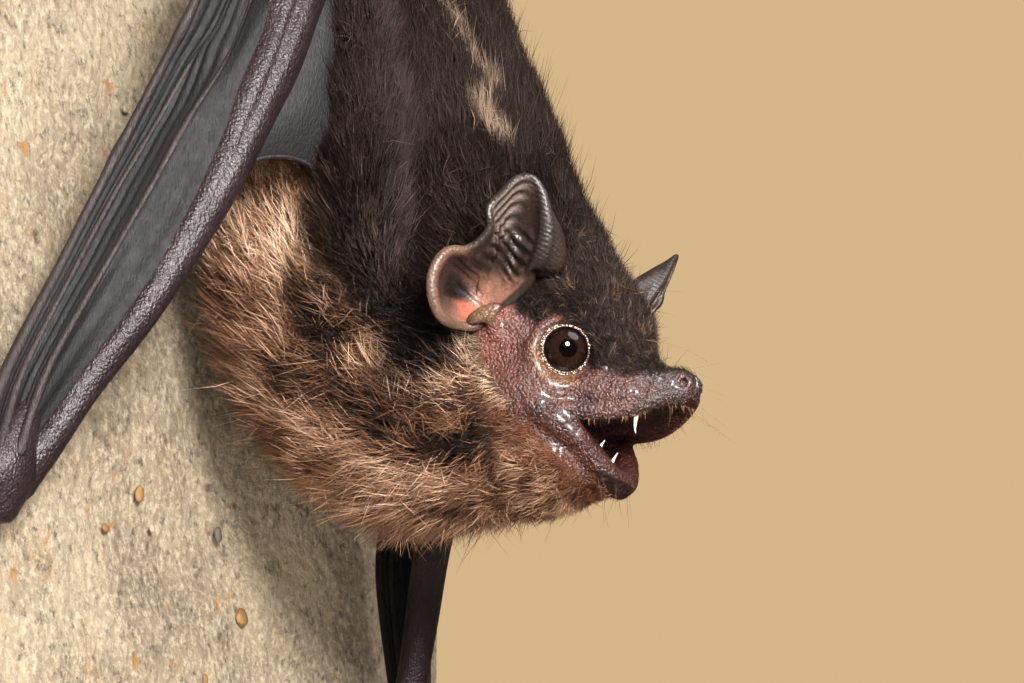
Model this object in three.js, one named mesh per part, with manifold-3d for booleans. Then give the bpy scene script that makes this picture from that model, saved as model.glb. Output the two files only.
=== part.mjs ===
// A greater sac-winged bat, life size, clinging head down to a cut slab of wall on a display stand.
// Units are millimetres and +Z is up. The origin is on the floor under the middle of the base.
//
// The bat is described in a frame of its own: x is across the body (the bat's right is -x), "out" is
// the distance from the wall's face and "up" is the height above the wrists. The head has a second
// frame inside that one: f runs forward from between the eyes to the snout, v runs to the crown.
import * as THREE from "three";
import { mergeVertices } from "three/addons/utils/BufferGeometryUtils.js";
import Module from "manifold-3d";

const wasm = await Module();
wasm.setup();

// Driving dimensions
const WALL_Y = 4; // the wall slab's front face
const WRIST_Z = 76; // height of the wrists above the floor
const GAP = 0.3; // between neighbouring pieces
const SKIN = 0.6; // thickness of a wing or tail membrane
const EYE_RADIUS = 1.5;
const SLAB = { half: 34, bottom: -14, top: 92, thick: 8, bevel: 0.8 };
const BASE = { half_x: 42, half_y: 32, height: 6, corner: 9, bevel: 0.8 };
const ROD = { x: 16, radius: 2.2 };
const HEAD = { out: 27, up: 10.2, pitch: 0.265 }; // pitch is how far the snout points down, in radians

const COLOURS = {
  coat: [0x2b2320, 0.85],
  face: [0x4a2f2a, 0.5],
  bare: [0x2a2527, 0.45],
  ear: [0x3b2a25, 0.45],
  eye: [0x120c0a, 0.08],
  claw: [0x3a302a, 0.4],
  wall: [0xb09a7c, 0.95],
  stand: [0x2c2c2e, 0.5],
};

// ---------------------------------------------------------------- frames

const at = (x, out, up) => new THREE.Vector3(x, -out, up);

function headAt(x, f, v) {
  const c = Math.cos(HEAD.pitch);
  const s = Math.sin(HEAD.pitch);
  return at(x, HEAD.out + f * c + v * s, HEAD.up - f * s + v * c);
}

const mix = (a, b, t) => a.clone().lerp(b, t);

// ---------------------------------------------------------------- shapes

// A closed body through rings of points: each ring joins the next, and a fan closes each end.
function loft(rings) {
  const n = rings[0].length;
  const points = rings.flat();
  const faces = [];
  for (let i = 0; i + 1 < rings.length; i++) {
    for (let k = 0; k < n; k++) {
      const a = i * n + k;
      const b = i * n + ((k + 1) % n);
      faces.push(a, b, b + n, a, b + n, a + n);
    }
  }
  for (const [i, turned] of [[0, true], [rings.length - 1, false]]) {
    const middle = new THREE.Vector3();
    rings[i].forEach((p) => middle.addScaledVector(p, 1 / n));
    points.push(middle);
    for (let k = 0; k < n; k++) {
      const a = i * n + k;
      const b = i * n + ((k + 1) % n);
      faces.push(points.length - 1, turned ? b : a, turned ? a : b);
    }
  }
  return new THREE.BufferGeometry().setFromPoints(points).setIndex(faces);
}

// A superellipse: power 2 is an ellipse, and more is squarer.
function oval(centre, side, depth, segments, power = 2) {
  return Array.from({ length: segments }, (_, k) => {
    const a = (2 * Math.PI * k) / segments;
    const bend = (t) => Math.sign(t) * Math.abs(t) ** (2 / power);
    return centre.clone()
      .addScaledVector(side, bend(Math.cos(a)))
      .addScaledVector(depth, bend(Math.sin(a)));
  });
}

// Rows of equal length, read as one smooth table: the row at t from 0 to 1.
function between(rows, t) {
  const last = rows.length - 1;
  const i = Math.min(Math.floor(t * last), last - 1);
  const u = t * last - i;
  return rows[0].map((_, c) => {
    const [p, q, r, s] = [i - 1, i, i + 1, i + 2].map((j) => rows[Math.max(0, Math.min(last, j))][c]);
    const square = 2 * p - 5 * q + 4 * r - s;
    const cube = 3 * q - p - 3 * r + s;
    return 0.5 * (2 * q + (r - p) * u + square * u * u + cube * u ** 3);
  });
}

// A limb of oval section. Rows are x, out, up, half-width across, half-depth, and grow thickens it.
function limb(rows, { steps = 7, segments = 8, side = at(1, 0, 0), grow = 0 } = {}) {
  const spot = (t) => at(...between(rows, Math.max(0, Math.min(1, t))));
  const rings = Array.from({ length: steps + 1 }, (_, i) => {
    const t = i / steps;
    const along = spot(t + 0.02).sub(spot(t - 0.02)).normalize();
    const depth = along.clone().cross(side).normalize();
    const across = depth.clone().cross(along);
    const [, , , wide, deep] = between(rows, t);
    const end = i === 0 ? -grow : i === steps ? grow : 0;
    const centre = spot(t).addScaledVector(along, end);
    return oval(centre, across.multiplyScalar(wide + grow), depth.multiplyScalar(deep + grow), segments);
  });
  return loft(rings);
}

// A membrane between two edges, each a function of t. Sag moves its middle by a vector function of t.
function membrane(edgeA, edgeB, { steps = 7, across = 2, sag = () => at(0, 0, 0), thick = SKIN } = {}) {
  const spot = (t, s) => mix(edgeA(t), edgeB(t), s).addScaledVector(sag(t, s), 4 * s * (1 - s));
  const rings = Array.from({ length: steps + 1 }, (_, i) => {
    const t = i / steps;
    const upper = [];
    const lower = [];
    for (let k = 0; k <= across; k++) {
      const s = k / across;
      const p = spot(t, s);
      const dt = spot(Math.min(1, t + 0.03), s).sub(spot(Math.max(0, t - 0.03), s));
      const ds = spot(t, Math.min(1, s + 0.05)).sub(spot(t, Math.max(0, s - 0.05)));
      const normal = dt.cross(ds).normalize();
      upper.push(p.clone().addScaledVector(normal, thick / 2));
      lower.unshift(p.clone().addScaledVector(normal, -thick / 2));
    }
    return [...upper, ...lower];
  });
  return loft(rings);
}

const along = (rows) => (t) => at(...between(rows, t));

// ---------------------------------------------------------------- joining and cutting

function solid(geometry) {
  const plain = geometry.clone();
  plain.deleteAttribute("normal");
  plain.deleteAttribute("uv");
  const merged = mergeVertices(plain, 1e-4);
  const build = (flip) => {
    const triVerts = new Uint32Array(merged.index.array);
    for (let i = 0; flip && i < triVerts.length; i += 3) {
      [triVerts[i + 1], triVerts[i + 2]] = [triVerts[i + 2], triVerts[i + 1]];
    }
    return new wasm.Manifold(
      new wasm.Mesh({ numProp: 3, vertProperties: merged.attributes.position.array, triVerts }),
    );
  };
  const made = build(false);
  return made.volume() > 0 ? made : build(true);
}

// The largest body of a solid, so that a cut leaves no loose crumbs.
const largest = (s) => s.decompose().reduce((a, b) => (b.volume() > a.volume() ? b : a));

const cut = (from, cutters) => largest(cutters.reduce((s, c) => s.subtract(c), from));

function geometryOf(s) {
  const mesh = s.getMesh();
  const flat = new Float32Array(mesh.numVert * 3);
  for (let i = 0; i < mesh.numVert; i++) {
    flat.set(mesh.vertProperties.subarray(i * mesh.numProp, i * mesh.numProp + 3), i * 3);
  }
  const g = new THREE.BufferGeometry()
    .setAttribute("position", new THREE.BufferAttribute(flat, 3))
    .setIndex(new THREE.BufferAttribute(mesh.triVerts, 1));
  g.computeVertexNormals();
  return g;
}

const bat = new THREE.Group();
bat.position.set(0, WALL_Y, WRIST_Z);
const stand = new THREE.Group();

function add(group, name, made, finish) {
  const [color, roughness] = COLOURS[finish];
  const material = new THREE.MeshStandardMaterial({ color, roughness, metalness: 0 });
  const mesh = new THREE.Mesh(made.isBufferGeometry ? made : geometryOf(made), material);
  mesh.name = name;
  group.add(mesh);
}

// ---------------------------------------------------------------- trunk, neck and head

// Belly (out, up), back (out, up) and half-width, from the rump to between the ears, over the fur.
const TRUNK = [
  [8.6, 61.4, 10.8, 61.8, 1.4],
  [6.2, 58.6, 14.0, 59.4, 5.2],
  [4.8, 51.5, 17.2, 52.5, 8.0],
  [4.4, 43.5, 19.3, 44.5, 9.2],
  [4.2, 35.0, 20.9, 36.5, 10.2],
  [2.8, 26.3, 23.7, 29.6, 11.4],
  [1.2, 17.8, 24.9, 26.2, 11.8],
  [3.5, 9.2, 25.6, 24.2, 10.4],
  [10.8, 2.3, 26.0, 23.0, 7.4],
];
const TRUNK_CUTS = { waist: 0.42, shoulders: 0.7 }; // where the abdomen, chest and neck part
const HEAD_BACK = -4.6; // f where the neck ends

// f, then v of the throat and of the crown, then half-width.
const SKULL = [
  [-4.6, -10.6, 11.3, 6.2],
  [-2.6, -10.2, 9.2, 5.9],
  [-0.9, -9.4, 7.2, 5.5],
];
const MUZZLE = [
  [-1.6, -3.6, 7.2, 4.9],
  [0.0, -3.8, 6.2, 4.8],
  [1.4, -3.9, 4.3, 4.3],
  [2.5, -3.4, 2.2, 3.6],
  [3.7, -2.8, 1.1, 2.9],
  [4.9, -2.1, 0.9, 2.3],
  [5.9, -1.3, 0.8, 1.7],
  [6.5, -0.7, 0.5, 0.9],
];
const JAW = [
  [-0.6, -9.0, -4.1, 4.6],
  [0.8, -8.6, -4.6, 3.8],
  [2.0, -7.9, -5.2, 2.7],
  [3.0, -7.3, -5.5, 1.7],
  [3.6, -6.8, -5.9, 0.8],
];
// The teeth that the open mouth shows: x, f, v at the gum, v at the tip.
const UPPER_TEETH = [[1.55, 4.3, -2.1, -3.5]];
const LOWER_TEETH = [[1.05, 2.9, -5.8, -4.6], [1.6, 2.0, -5.4, -4.3]];
const TOOTH_RADIUS = 0.32;

function trunkPart(from, to, steps, grow = 0) {
  const rows = TRUNK.concat([headRow(SKULL[0])]);
  const rings = Array.from({ length: steps + 1 }, (_, i) => {
    const [o1, u1, o2, u2, half] = between(rows, from + ((to - from) * i) / steps);
    const middle = at(0, (o1 + o2) / 2, (u1 + u2) / 2);
    const depth = at(0, o2 - o1, u2 - u1).multiplyScalar(0.5);
    depth.setLength(depth.length() + grow);
    return oval(middle, at(half + grow, 0, 0), depth, 16, 2.15);
  });
  return loft(rings);
}

function headRow([f, low, high, half]) {
  const a = headAt(0, f, low);
  const b = headAt(0, f, high);
  return [-a.y, a.z, -b.y, b.z, half];
}

function headPart(rows, steps, segments = 14, grow = 0) {
  const rings = Array.from({ length: steps + 1 }, (_, i) => {
    const [f, low, high, half] = between(rows, i / steps);
    const push = i === 0 ? -grow : i === steps ? grow : 0;
    const up = headAt(0, f, high + grow).sub(headAt(0, f, low - grow)).multiplyScalar(0.5);
    return oval(headAt(0, f + push, (low + high) / 2), at(half + grow, 0, 0), up, segments, 2.2);
  });
  return loft(rings);
}

function tooth(side, [x, f, gum, tip]) {
  const height = Math.abs(tip - gum);
  const cone = new THREE.ConeGeometry(TOOTH_RADIUS, height, 5);
  cone.applyQuaternion(
    new THREE.Quaternion().setFromUnitVectors(
      new THREE.Vector3(0, 1, 0),
      headAt(0, 0, tip).sub(headAt(0, 0, gum)).normalize(),
    ),
  );
  const middle = headAt(side * x, f, (gum + tip) / 2);
  return solid(cone.translate(middle.x, middle.y, middle.z));
}

function eyeball(side, grow = 0) {
  const centre = headAt(side * 3.75, 0, 0);
  return new THREE.SphereGeometry(EYE_RADIUS + grow, 12, 8).translate(centre.x, centre.y, centre.z);
}

const SIDES = [["right", -1], ["left", 1]];
const teethOf = (table) => SIDES.flatMap(([, side]) => table.map((row) => tooth(side, row)));
const eyeCutters = SIDES.map(([, side]) => solid(eyeball(side, GAP)));

const jawCutter = solid(headPart(JAW, 4, 12, GAP));
const skull = solid(headPart([[-4.6 + GAP, ...SKULL[0].slice(1)], ...SKULL.slice(1)], 3));
const head = cut(
  teethOf(UPPER_TEETH).reduce((s, t) => s.add(t), skull.add(solid(headPart(MUZZLE, 8)))),
  [...eyeCutters, jawCutter],
);
const jaw = teethOf(LOWER_TEETH).reduce((s, t) => s.add(t), solid(headPart(JAW, 4, 12)));

const cutAt = GAP / 130; // half a gap as a share of the trunk table
const abdomen = solid(trunkPart(0, TRUNK_CUTS.waist - cutAt, 8));
const chest = solid(trunkPart(TRUNK_CUTS.waist + cutAt, TRUNK_CUTS.shoulders - cutAt, 4));
const neck = solid(trunkPart(TRUNK_CUTS.shoulders + cutAt, 1, 6));
const trunkCutters = [
  [0, TRUNK_CUTS.waist + 0.01],
  [TRUNK_CUTS.waist - 0.01, TRUNK_CUTS.shoulders + 0.01],
  [TRUNK_CUTS.shoulders - 0.01, 1],
].map(([a, b]) => solid(trunkPart(a, b, 8, GAP)));

add(bat, "head", head, "face");
add(bat, "jaw", jaw, "face");
add(bat, "neck", neck, "coat");
add(bat, "chest", chest, "coat");
add(bat, "abdomen", abdomen, "coat");
SIDES.forEach(([name, side]) => add(bat, `eye_${name}`, eyeball(side), "eye"));

// ---------------------------------------------------------------- ears

// The rim in the head's frame, as f, v and distance from the middle, from the front of the base
// over the blunt tip and round the back lobe.
const EAR_RIM = [
  [-4.6, 2.1, 5.6],
  [-2.6, 3.6, 5.9],
  [-1.0, 4.1, 6.5],
  [-0.5, 5.2, 7.2],
  [-0.8, 6.8, 8.0],
  [-1.6, 8.0, 8.7],
  [-2.5, 8.8, 9.3],
  [-3.6, 8.5, 9.4],
  [-4.4, 6.7, 9.3],
  [-4.4, 5.6, 8.9],
  [-5.6, 4.3, 9.1],
  [-6.7, 3.7, 9.5],
  [-7.2, 2.2, 9.4],
  [-7.0, 0.7, 8.6],
  [-6.4, 0.0, 7.4],
  [-5.4, 0.9, 6.3],
];
const EAR_CUP = { f: -5.2, v: 2.4, x: 6.6, depth: 2.6, wall: 0.55 };
const LEFT_PRICK = { f: 0.5, v: 1.7, x: 0.4 }; // how much further the tip of the left ear is raised

function earRim(side) {
  const foot = EAR_CUP.v;
  const height = EAR_RIM[6][1] - foot;
  return EAR_RIM.map(([f, v, x]) => {
    const raised = side > 0 ? Math.max(0, (v - foot) / height) : 0;
    return headAt(side * (x + raised * LEFT_PRICK.x), f + raised * LEFT_PRICK.f, v + raised * LEFT_PRICK.v);
  });
}

function ear(side) {
  const centre = headAt(side * EAR_CUP.x, EAR_CUP.f, EAR_CUP.v);
  const rim = earRim(side);
  const inward = headAt(-side * 0.85, -0.5, -0.1).sub(headAt(0, 0, 0)).normalize();
  const cup = (s, extra) =>
    rim.map((p) => {
      const reach = Math.sin((s * Math.PI) / 2);
      const out = p.clone().sub(centre);
      return centre.clone()
        .addScaledVector(out, reach)
        .addScaledVector(out.clone().normalize(), extra * reach)
        .addScaledVector(inward, (EAR_CUP.depth + extra) * Math.cos((s * Math.PI) / 2));
    });
  const steps = [0.15, 0.6, 1];
  const outside = steps.map((s) => cup(s, EAR_CUP.wall));
  const inside = steps.map((s) => cup(s, 0)).reverse();
  return loft([...outside, ...inside]);
}

function tragus(side) {
  const rows = [
    [-5.2, 0.6, 6.5, 0.75],
    [-5.1, 1.2, 7.0, 0.85],
    [-4.9, 1.7, 7.4, 0.6],
  ];
  const rings = rows.map(([f, v, x, half]) => {
    const centre = headAt(side * x, f, v);
    const wide = headAt(0, half, half * 0.4).sub(headAt(0, 0, 0));
    const thick = headAt(side * 0.2, 0, -0.2).sub(headAt(0, 0, 0));
    return oval(centre, wide, thick, 8);
  });
  return loft(rings);
}

const headCutters = [[SKULL, 3], [MUZZLE, 8]].map(([rows, steps]) => solid(headPart(rows, steps, 14, GAP)));
const fleshCutters = [...trunkCutters, ...headCutters];
for (const [name, side] of SIDES) {
  const lobe = cut(solid(tragus(side)), fleshCutters);
  add(bat, `tragus_${name}`, lobe, "ear");
  add(bat, `ear_${name}`, cut(solid(ear(side)), [...fleshCutters, lobe]), "ear");
}

// ---------------------------------------------------------------- wings

// Each row is x, out, up, half-width, half-depth. The right wing is the mirror image of these rows,
// and the left wing is the same set lower and closer in.
const UPPER_ARM = [
  [6.6, 14.2, 13.0, 1.2, 1.2],
  [9.4, 15.2, 17.0, 2.3, 2.3],
  [11.0, 16.6, 22.0, 2.3, 2.2],
  [11.6, 16.8, 30.0, 1.9, 1.8],
  [11.7, 16.0, 37.0, 1.5, 1.5],
  [11.6, 15.3, 41.6, 1.6, 1.5],
];
const FOREARM = [
  [23.5, 2.0, 0.2, 1.15, 1.25],
  [21.9, 5.2, 5.4, 1.0, 1.05],
  [19.4, 10.0, 13.6, 1.2, 1.25],
  [17.0, 12.5, 22.8, 1.6, 1.65],
  [15.0, 14.0, 30.8, 1.95, 2.0],
  [13.3, 15.1, 38.0, 1.8, 1.9],
  [12.6, 15.6, 43.0, 1.1, 1.2],
];
const DIGITS = {
  digit3: [
    [24.6, 2.2, 0.8, 0.6, 0.6],
    [24.1, 1.8, 6.2, 0.55, 0.55],
    [21.2, 3.9, 14.8, 0.5, 0.5],
    [19.2, 6.2, 22.4, 0.5, 0.5],
    [17.6, 9.2, 30.8, 0.5, 0.5],
    [16.0, 11.4, 40.0, 0.6, 0.6],
  ],
  digit4: [
    [24.2, 3.3, 1.4, 0.5, 0.5],
    [23.6, 3.3, 6.2, 0.45, 0.45],
    [20.9, 5.3, 14.6, 0.4, 0.4],
    [19.2, 7.7, 22.3, 0.4, 0.4],
    [17.6, 10.5, 30.6, 0.4, 0.4],
    [15.6, 12.4, 37.0, 0.45, 0.45],
  ],
  digit5: [
    [23.8, 3.9, 2.2, 0.5, 0.5],
    [22.8, 4.9, 6.3, 0.45, 0.45],
    [20.4, 7.2, 14.2, 0.4, 0.4],
    [18.6, 9.6, 22.0, 0.4, 0.4],
    [17.0, 11.6, 29.0, 0.4, 0.4],
    [15.6, 12.6, 33.0, 0.45, 0.45],
  ],
};
const WRIST = [
  [23.9, 2.6, 1.6, 1.4, 1.5],
  [24.2, 2.1, 0.0, 1.7, 1.6],
  [24.4, 1.7, -1.6, 1.3, 1.2],
];
const THUMB = [
  [25.0, 1.6, -0.6, 0.75, 0.7],
  [27.0, 1.3, -1.2, 0.5, 0.5],
  [28.8, 1.2, -1.0, 0.45, 0.45],
  [29.7, 0.7, -0.7, 0.3, 0.3],
];
const FOREARM_LENGTH = 43; // as a height above the wrist
const LEFT_WING = { wrist_x: -1.9, elbow_x: 0.4, tuck: 2.8, wrist_drop: 7.6, elbow_drop: 6.0 };
const DIGIT_SHAPE = { steps: 7, segments: 6 };
const WEB_SHAPE = { steps: 6, across: 1 };

const clamp01 = (t) => Math.max(0, Math.min(1, t));
const lerp = (a, b, t) => a + (b - a) * t;

// Rows for one side's wing. Share is how much of the left wing's lower set a row takes.
function wingRows(rows, side, share = () => 1) {
  if (side < 0) return rows.map(([x, ...rest]) => [-x, ...rest]);
  return rows.map(([x, out, up, ...rest], i) => {
    const t = clamp01(up / FOREARM_LENGTH);
    const k = share(i);
    return [
      x + k * lerp(LEFT_WING.wrist_x, LEFT_WING.elbow_x, t),
      out - k * LEFT_WING.tuck * clamp01((up - 2) / 12),
      up - k * lerp(LEFT_WING.wrist_drop, LEFT_WING.elbow_drop, t),
      ...rest,
    ];
  });
}

function wing(name, side) {
  const arm = (rows, options) => solid(limb(wingRows(rows, side), options));
  const finger = (rows, grow) => arm(rows, { ...DIGIT_SHAPE, grow });
  const addBare = (part, made) => add(bat, `${part}_${name}`, made, "bare");

  const wristGrown = arm(WRIST, { steps: 4, grow: GAP });
  const thumbGrown = arm(THUMB, { steps: 4, segments: 6, grow: GAP });
  const forearmGrown = arm(FOREARM, { steps: 9, grow: GAP });
  addBare("wrist", arm(WRIST, { steps: 4 }));
  addBare("thumb", cut(arm(THUMB, { steps: 4, segments: 6 }), [wristGrown]));
  addBare("forearm", cut(arm(FOREARM, { steps: 9 }), [wristGrown]));

  const shoulderFixed = (i) => i / (UPPER_ARM.length - 1);
  const upperArm = (grow) => solid(limb(wingRows(UPPER_ARM, side, shoulderFixed), { steps: 6, grow }));
  const upperArmGrown = upperArm(GAP);
  add(bat, `upper_arm_${name}`, cut(upperArm(0), [forearmGrown, ...trunkCutters]), "coat");

  const taken = [wristGrown, forearmGrown];
  for (const [digit, rows] of Object.entries(DIGITS)) {
    addBare(digit, cut(finger(rows, 0), taken));
    taken.push(finger(rows, GAP));
  }

  // Membranes between the forearm and the digits.
  const edges = { forearm: FOREARM.slice(0, 6), ...DIGITS };
  const edge = (part) => along(wingRows(edges[part], side));
  for (const [web, a, b] of [
    ["web_arm", "forearm", "digit5"],
    ["web_outer", "digit5", "digit4"],
    ["web_edge", "digit4", "digit3"],
  ]) {
    addBare(web, cut(solid(membrane(edge(a), edge(b), WEB_SHAPE)), [...taken, thumbGrown]));
  }

  const front = (thick) => solid(propatagium(side, thick));
  addBare("propatagium", cut(front(SKIN), [...taken, upperArmGrown, ...trunkCutters]));
  return [...taken, front(SKIN + 2 * GAP), upperArmGrown, thumbGrown];
}

// The skin in front of the elbow, with its free edge arched towards the elbow.
function propatagium(side, thick) {
  const shoulder = [[10.2, 14.6, 20.4], [11.6, 15.6, 24.0], [12.0, 16.0, 30.0], [12.0, 15.6, 36.0]];
  const forearm = [[18.3, 11.2, 18.6], [16.9, 12.8, 23.4], [15.2, 14.2, 30.2], [13.8, 15.0, 36.0]];
  const sag = (t) => at(0, 0.4, 2.4 * Math.max(0, 1 - 2.5 * t));
  const rising = (i) => i / 3;
  return membrane(
    along(wingRows(shoulder, side, rising)),
    along(wingRows(forearm, side)),
    { steps: 6, across: 3, sag, thick },
  );
}

const wingCutters = {};
for (const [name, side] of SIDES) wingCutters[name] = wing(name, side);

// ---------------------------------------------------------------- legs, tail and hind membranes

const THIGH = [
  [4.4, 9.8, 53.5, 3.0, 3.2],
  [8.2, 10.4, 57.5, 2.6, 2.7],
  [11.6, 10.0, 62.2, 1.7, 1.7],
  [12.3, 9.4, 63.8, 1.1, 1.1],
];
const SHIN = [
  [12.2, 9.0, 63.4, 1.2, 1.2],
  [11.9, 7.2, 70.0, 1.0, 1.0],
  [10.9, 3.6, 78.4, 0.8, 0.8],
  [10.8, 2.6, 80.2, 0.95, 0.9],
];
const TAIL = [
  [0, 9.7, 60.6, 1.3, 1.3],
  [0, 9.0, 65.0, 0.85, 0.85],
  [0, 9.6, 70.0, 0.65, 0.65],
  [0, 10.8, 74.6, 0.4, 0.4],
];
const SOLE = [
  [10.8, 2.5, 80.0, 1.1, 0.9],
  [10.8, 1.9, 82.4, 1.9, 0.8],
  [10.8, 1.5, 84.0, 2.1, 0.6],
];
const TOES = { count: 5, spread: 0.95, root: 83.0, length: 6.2, splay: 0.25, claw: 1.9, radius: 0.42 };

const legRows = (rows, side) => rows.map(([x, ...rest]) => [side * x, ...rest]);

// A toe from the sole, with its claw hooked in towards the wall.
function toe(side, index) {
  const { count, spread, root, length, splay, claw, radius } = TOES;
  const offset = (index - (count - 1) / 2) * spread;
  const x = SOLE[0][0] + offset;
  const tip = root + length;
  const rows = [
    [x, 1.5, root, radius, radius],
    [x + 0.7 * splay * offset, 1.5, lerp(root, tip, 0.7), radius, radius],
    [x + splay * offset, 1.2, tip, radius * 0.9, radius * 0.9],
    [x + splay * offset, 0.62, tip + 0.5 * claw, radius * 0.7, radius * 0.7],
  ];
  return solid(limb(legRows(rows, side), { steps: 3, segments: 5 }));
}

function foot(side) {
  const sole = solid(limb(legRows(SOLE, side), { steps: 3 }));
  return Array.from({ length: TOES.count }, (_, k) => toe(side, k)).reduce((s, t) => s.add(t), sole);
}

const tailGrown = solid(limb(TAIL, { steps: 5, grow: GAP }));
add(bat, "tail", cut(solid(limb(TAIL, { steps: 5 })), trunkCutters), "bare");

const legCutters = {};
for (const [name, side] of SIDES) {
  const leg = (rows, grow = 0) => solid(limb(legRows(rows, side), { steps: 5, grow }));
  const thighGrown = leg(THIGH, GAP);
  const shinGrown = leg(SHIN, GAP);
  legCutters[name] = [thighGrown, shinGrown];
  add(bat, `thigh_${name}`, cut(leg(THIGH), [...trunkCutters, tailGrown]), "coat");
  add(bat, `shin_${name}`, cut(leg(SHIN), [thighGrown]), "bare");
  add(bat, `foot_${name}`, cut(foot(side), [shinGrown]), "bare");
}

// Skin from the folded fingertips along the flank to the ankle.
function sideSkin(side) {
  const flankWing = [[9.0, 8.6, 33.0], [8.6, 8.6, 44.0]];
  const flankLeg = [[8.2, 8.8, 54.0], [11.6, 7.2, 66.0], [11.2, 4.2, 76.0]];
  const foldWing = [[15.6, 11.6, 33.6], [15.0, 10.6, 41.0]];
  const foldLeg = [[13.6, 8.6, 52.0], [13.4, 6.6, 64.0], [12.2, 4.2, 76.0]];
  const fading = (i) => (i === 0 ? 1 : 0.5);
  const flank = [...legRows(flankWing, side), ...legRows(flankLeg, side)];
  const fold = [...wingRows(foldWing, side, fading), ...legRows(foldLeg, side)];
  const sag = (t) => at(0, -1.2 * (1 - t), 0);
  return solid(membrane(along(flank), along(fold), { steps: 6, sag }));
}

// Half of the tail membrane, from the tail to the leg, with its free edge hollowed.
function tailSkin(side) {
  const middle = [[0, 9.4, 59.0], [0, 9.0, 63.0], [0, 8.9, 66.5], [0, 8.8, 69.5]];
  const leg = [[9.0, 9.6, 59.0], [11.9, 8.6, 65.0], [11.7, 6.2, 72.0], [10.9, 3.6, 78.0]];
  const sag = (t) => at(0, -0.8, -2.0 * t * t);
  return solid(membrane(along(middle), along(legRows(leg, side)), { steps: 5, sag }));
}

const seam = solid(new THREE.BoxGeometry(GAP, 40, 40).translate(0, -9, 66));
for (const [name, side] of SIDES) {
  const body = [...trunkCutters, ...legCutters[name]];
  add(bat, `side_skin_${name}`, cut(sideSkin(side), [...body, ...wingCutters[name]]), "bare");
  add(bat, `tail_skin_${name}`, cut(tailSkin(side), [...body, tailGrown, seam]), "bare");
}

// ---------------------------------------------------------------- wall slab and stand

function slab() {
  const { half, bottom, top, thick, bevel } = SLAB;
  const outline = new THREE.Shape([
    new THREE.Vector2(-half + bevel, bottom + bevel),
    new THREE.Vector2(half - bevel, bottom + bevel),
    new THREE.Vector2(half - bevel, top - bevel),
    new THREE.Vector2(-half + bevel, top - bevel),
  ]);
  const options = { depth: thick - 2 * bevel, bevelThickness: bevel, bevelSize: bevel, bevelSegments: 1 };
  return new THREE.ExtrudeGeometry(outline, options)
    .translate(0, 0, bevel)
    .rotateX(Math.PI / 2)
    .translate(0, thick, 0);
}

function base() {
  const { half_x, half_y, height, corner, bevel } = BASE;
  const w = half_x - bevel;
  const h = half_y - bevel;
  const outline = new THREE.Shape();
  outline.absarc(w - corner, h - corner, corner, 0, Math.PI / 2);
  outline.absarc(corner - w, h - corner, corner, Math.PI / 2, Math.PI);
  outline.absarc(corner - w, corner - h, corner, Math.PI, 1.5 * Math.PI);
  outline.absarc(w - corner, corner - h, corner, 1.5 * Math.PI, 2 * Math.PI);
  const options = {
    depth: height - 2 * bevel,
    bevelThickness: bevel,
    bevelSize: bevel,
    bevelSegments: 1,
    curveSegments: 3,
  };
  return new THREE.ExtrudeGeometry(outline, options).translate(0, 0, bevel);
}

add(bat, "perch_wall", slab(), "wall");
add(stand, "stand_base", base(), "stand");
for (const [name, side] of SIDES) {
  const low = BASE.height;
  const high = WRIST_Z + SLAB.bottom;
  const rod = new THREE.CylinderGeometry(ROD.radius, ROD.radius, high - low, 14)
    .rotateX(Math.PI / 2)
    .translate(side * ROD.x, WALL_Y + SLAB.thick / 2, (low + high) / 2);
  add(stand, `stand_rod_${name}`, rod, "stand");
}

const model = new THREE.Group();
model.add(bat, stand);

export default model;
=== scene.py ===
"""A greater sac-winged bat clinging head down to a slab of wall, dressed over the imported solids.

Shapes are worked out in millimetres in the bat's own space: X across the body (the bat's right is -X),
Y = minus the distance out from the wall's face, and Z = height above the wrists. The head has a second
frame inside it: x across, f forward from between the eyes, and v towards the crown.
"""
import math

import bmesh
import bpy
import numpy as np
from mathutils import Matrix, Vector


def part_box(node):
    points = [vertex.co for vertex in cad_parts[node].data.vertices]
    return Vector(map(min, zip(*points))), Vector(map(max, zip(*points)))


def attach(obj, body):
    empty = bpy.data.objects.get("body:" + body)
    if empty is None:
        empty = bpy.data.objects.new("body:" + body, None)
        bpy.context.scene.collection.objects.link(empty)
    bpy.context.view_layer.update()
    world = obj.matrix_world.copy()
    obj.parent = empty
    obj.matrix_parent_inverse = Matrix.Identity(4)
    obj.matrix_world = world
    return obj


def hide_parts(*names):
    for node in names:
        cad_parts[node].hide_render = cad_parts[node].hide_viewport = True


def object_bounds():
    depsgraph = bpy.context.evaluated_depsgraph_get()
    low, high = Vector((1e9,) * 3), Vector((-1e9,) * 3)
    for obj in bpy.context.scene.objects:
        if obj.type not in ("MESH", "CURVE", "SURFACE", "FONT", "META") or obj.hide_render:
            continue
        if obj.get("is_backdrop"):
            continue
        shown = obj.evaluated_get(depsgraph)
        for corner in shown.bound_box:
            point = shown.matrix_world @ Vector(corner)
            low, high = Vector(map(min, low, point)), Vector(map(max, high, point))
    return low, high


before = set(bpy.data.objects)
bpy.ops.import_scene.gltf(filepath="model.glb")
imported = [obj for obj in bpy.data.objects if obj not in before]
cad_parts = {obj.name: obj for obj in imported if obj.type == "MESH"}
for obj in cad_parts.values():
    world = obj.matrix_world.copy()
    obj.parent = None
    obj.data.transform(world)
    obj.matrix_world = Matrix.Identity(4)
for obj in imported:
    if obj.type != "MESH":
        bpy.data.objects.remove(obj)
CAD_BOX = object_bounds()

# ---------------------------------------------------------------- frames

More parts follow.
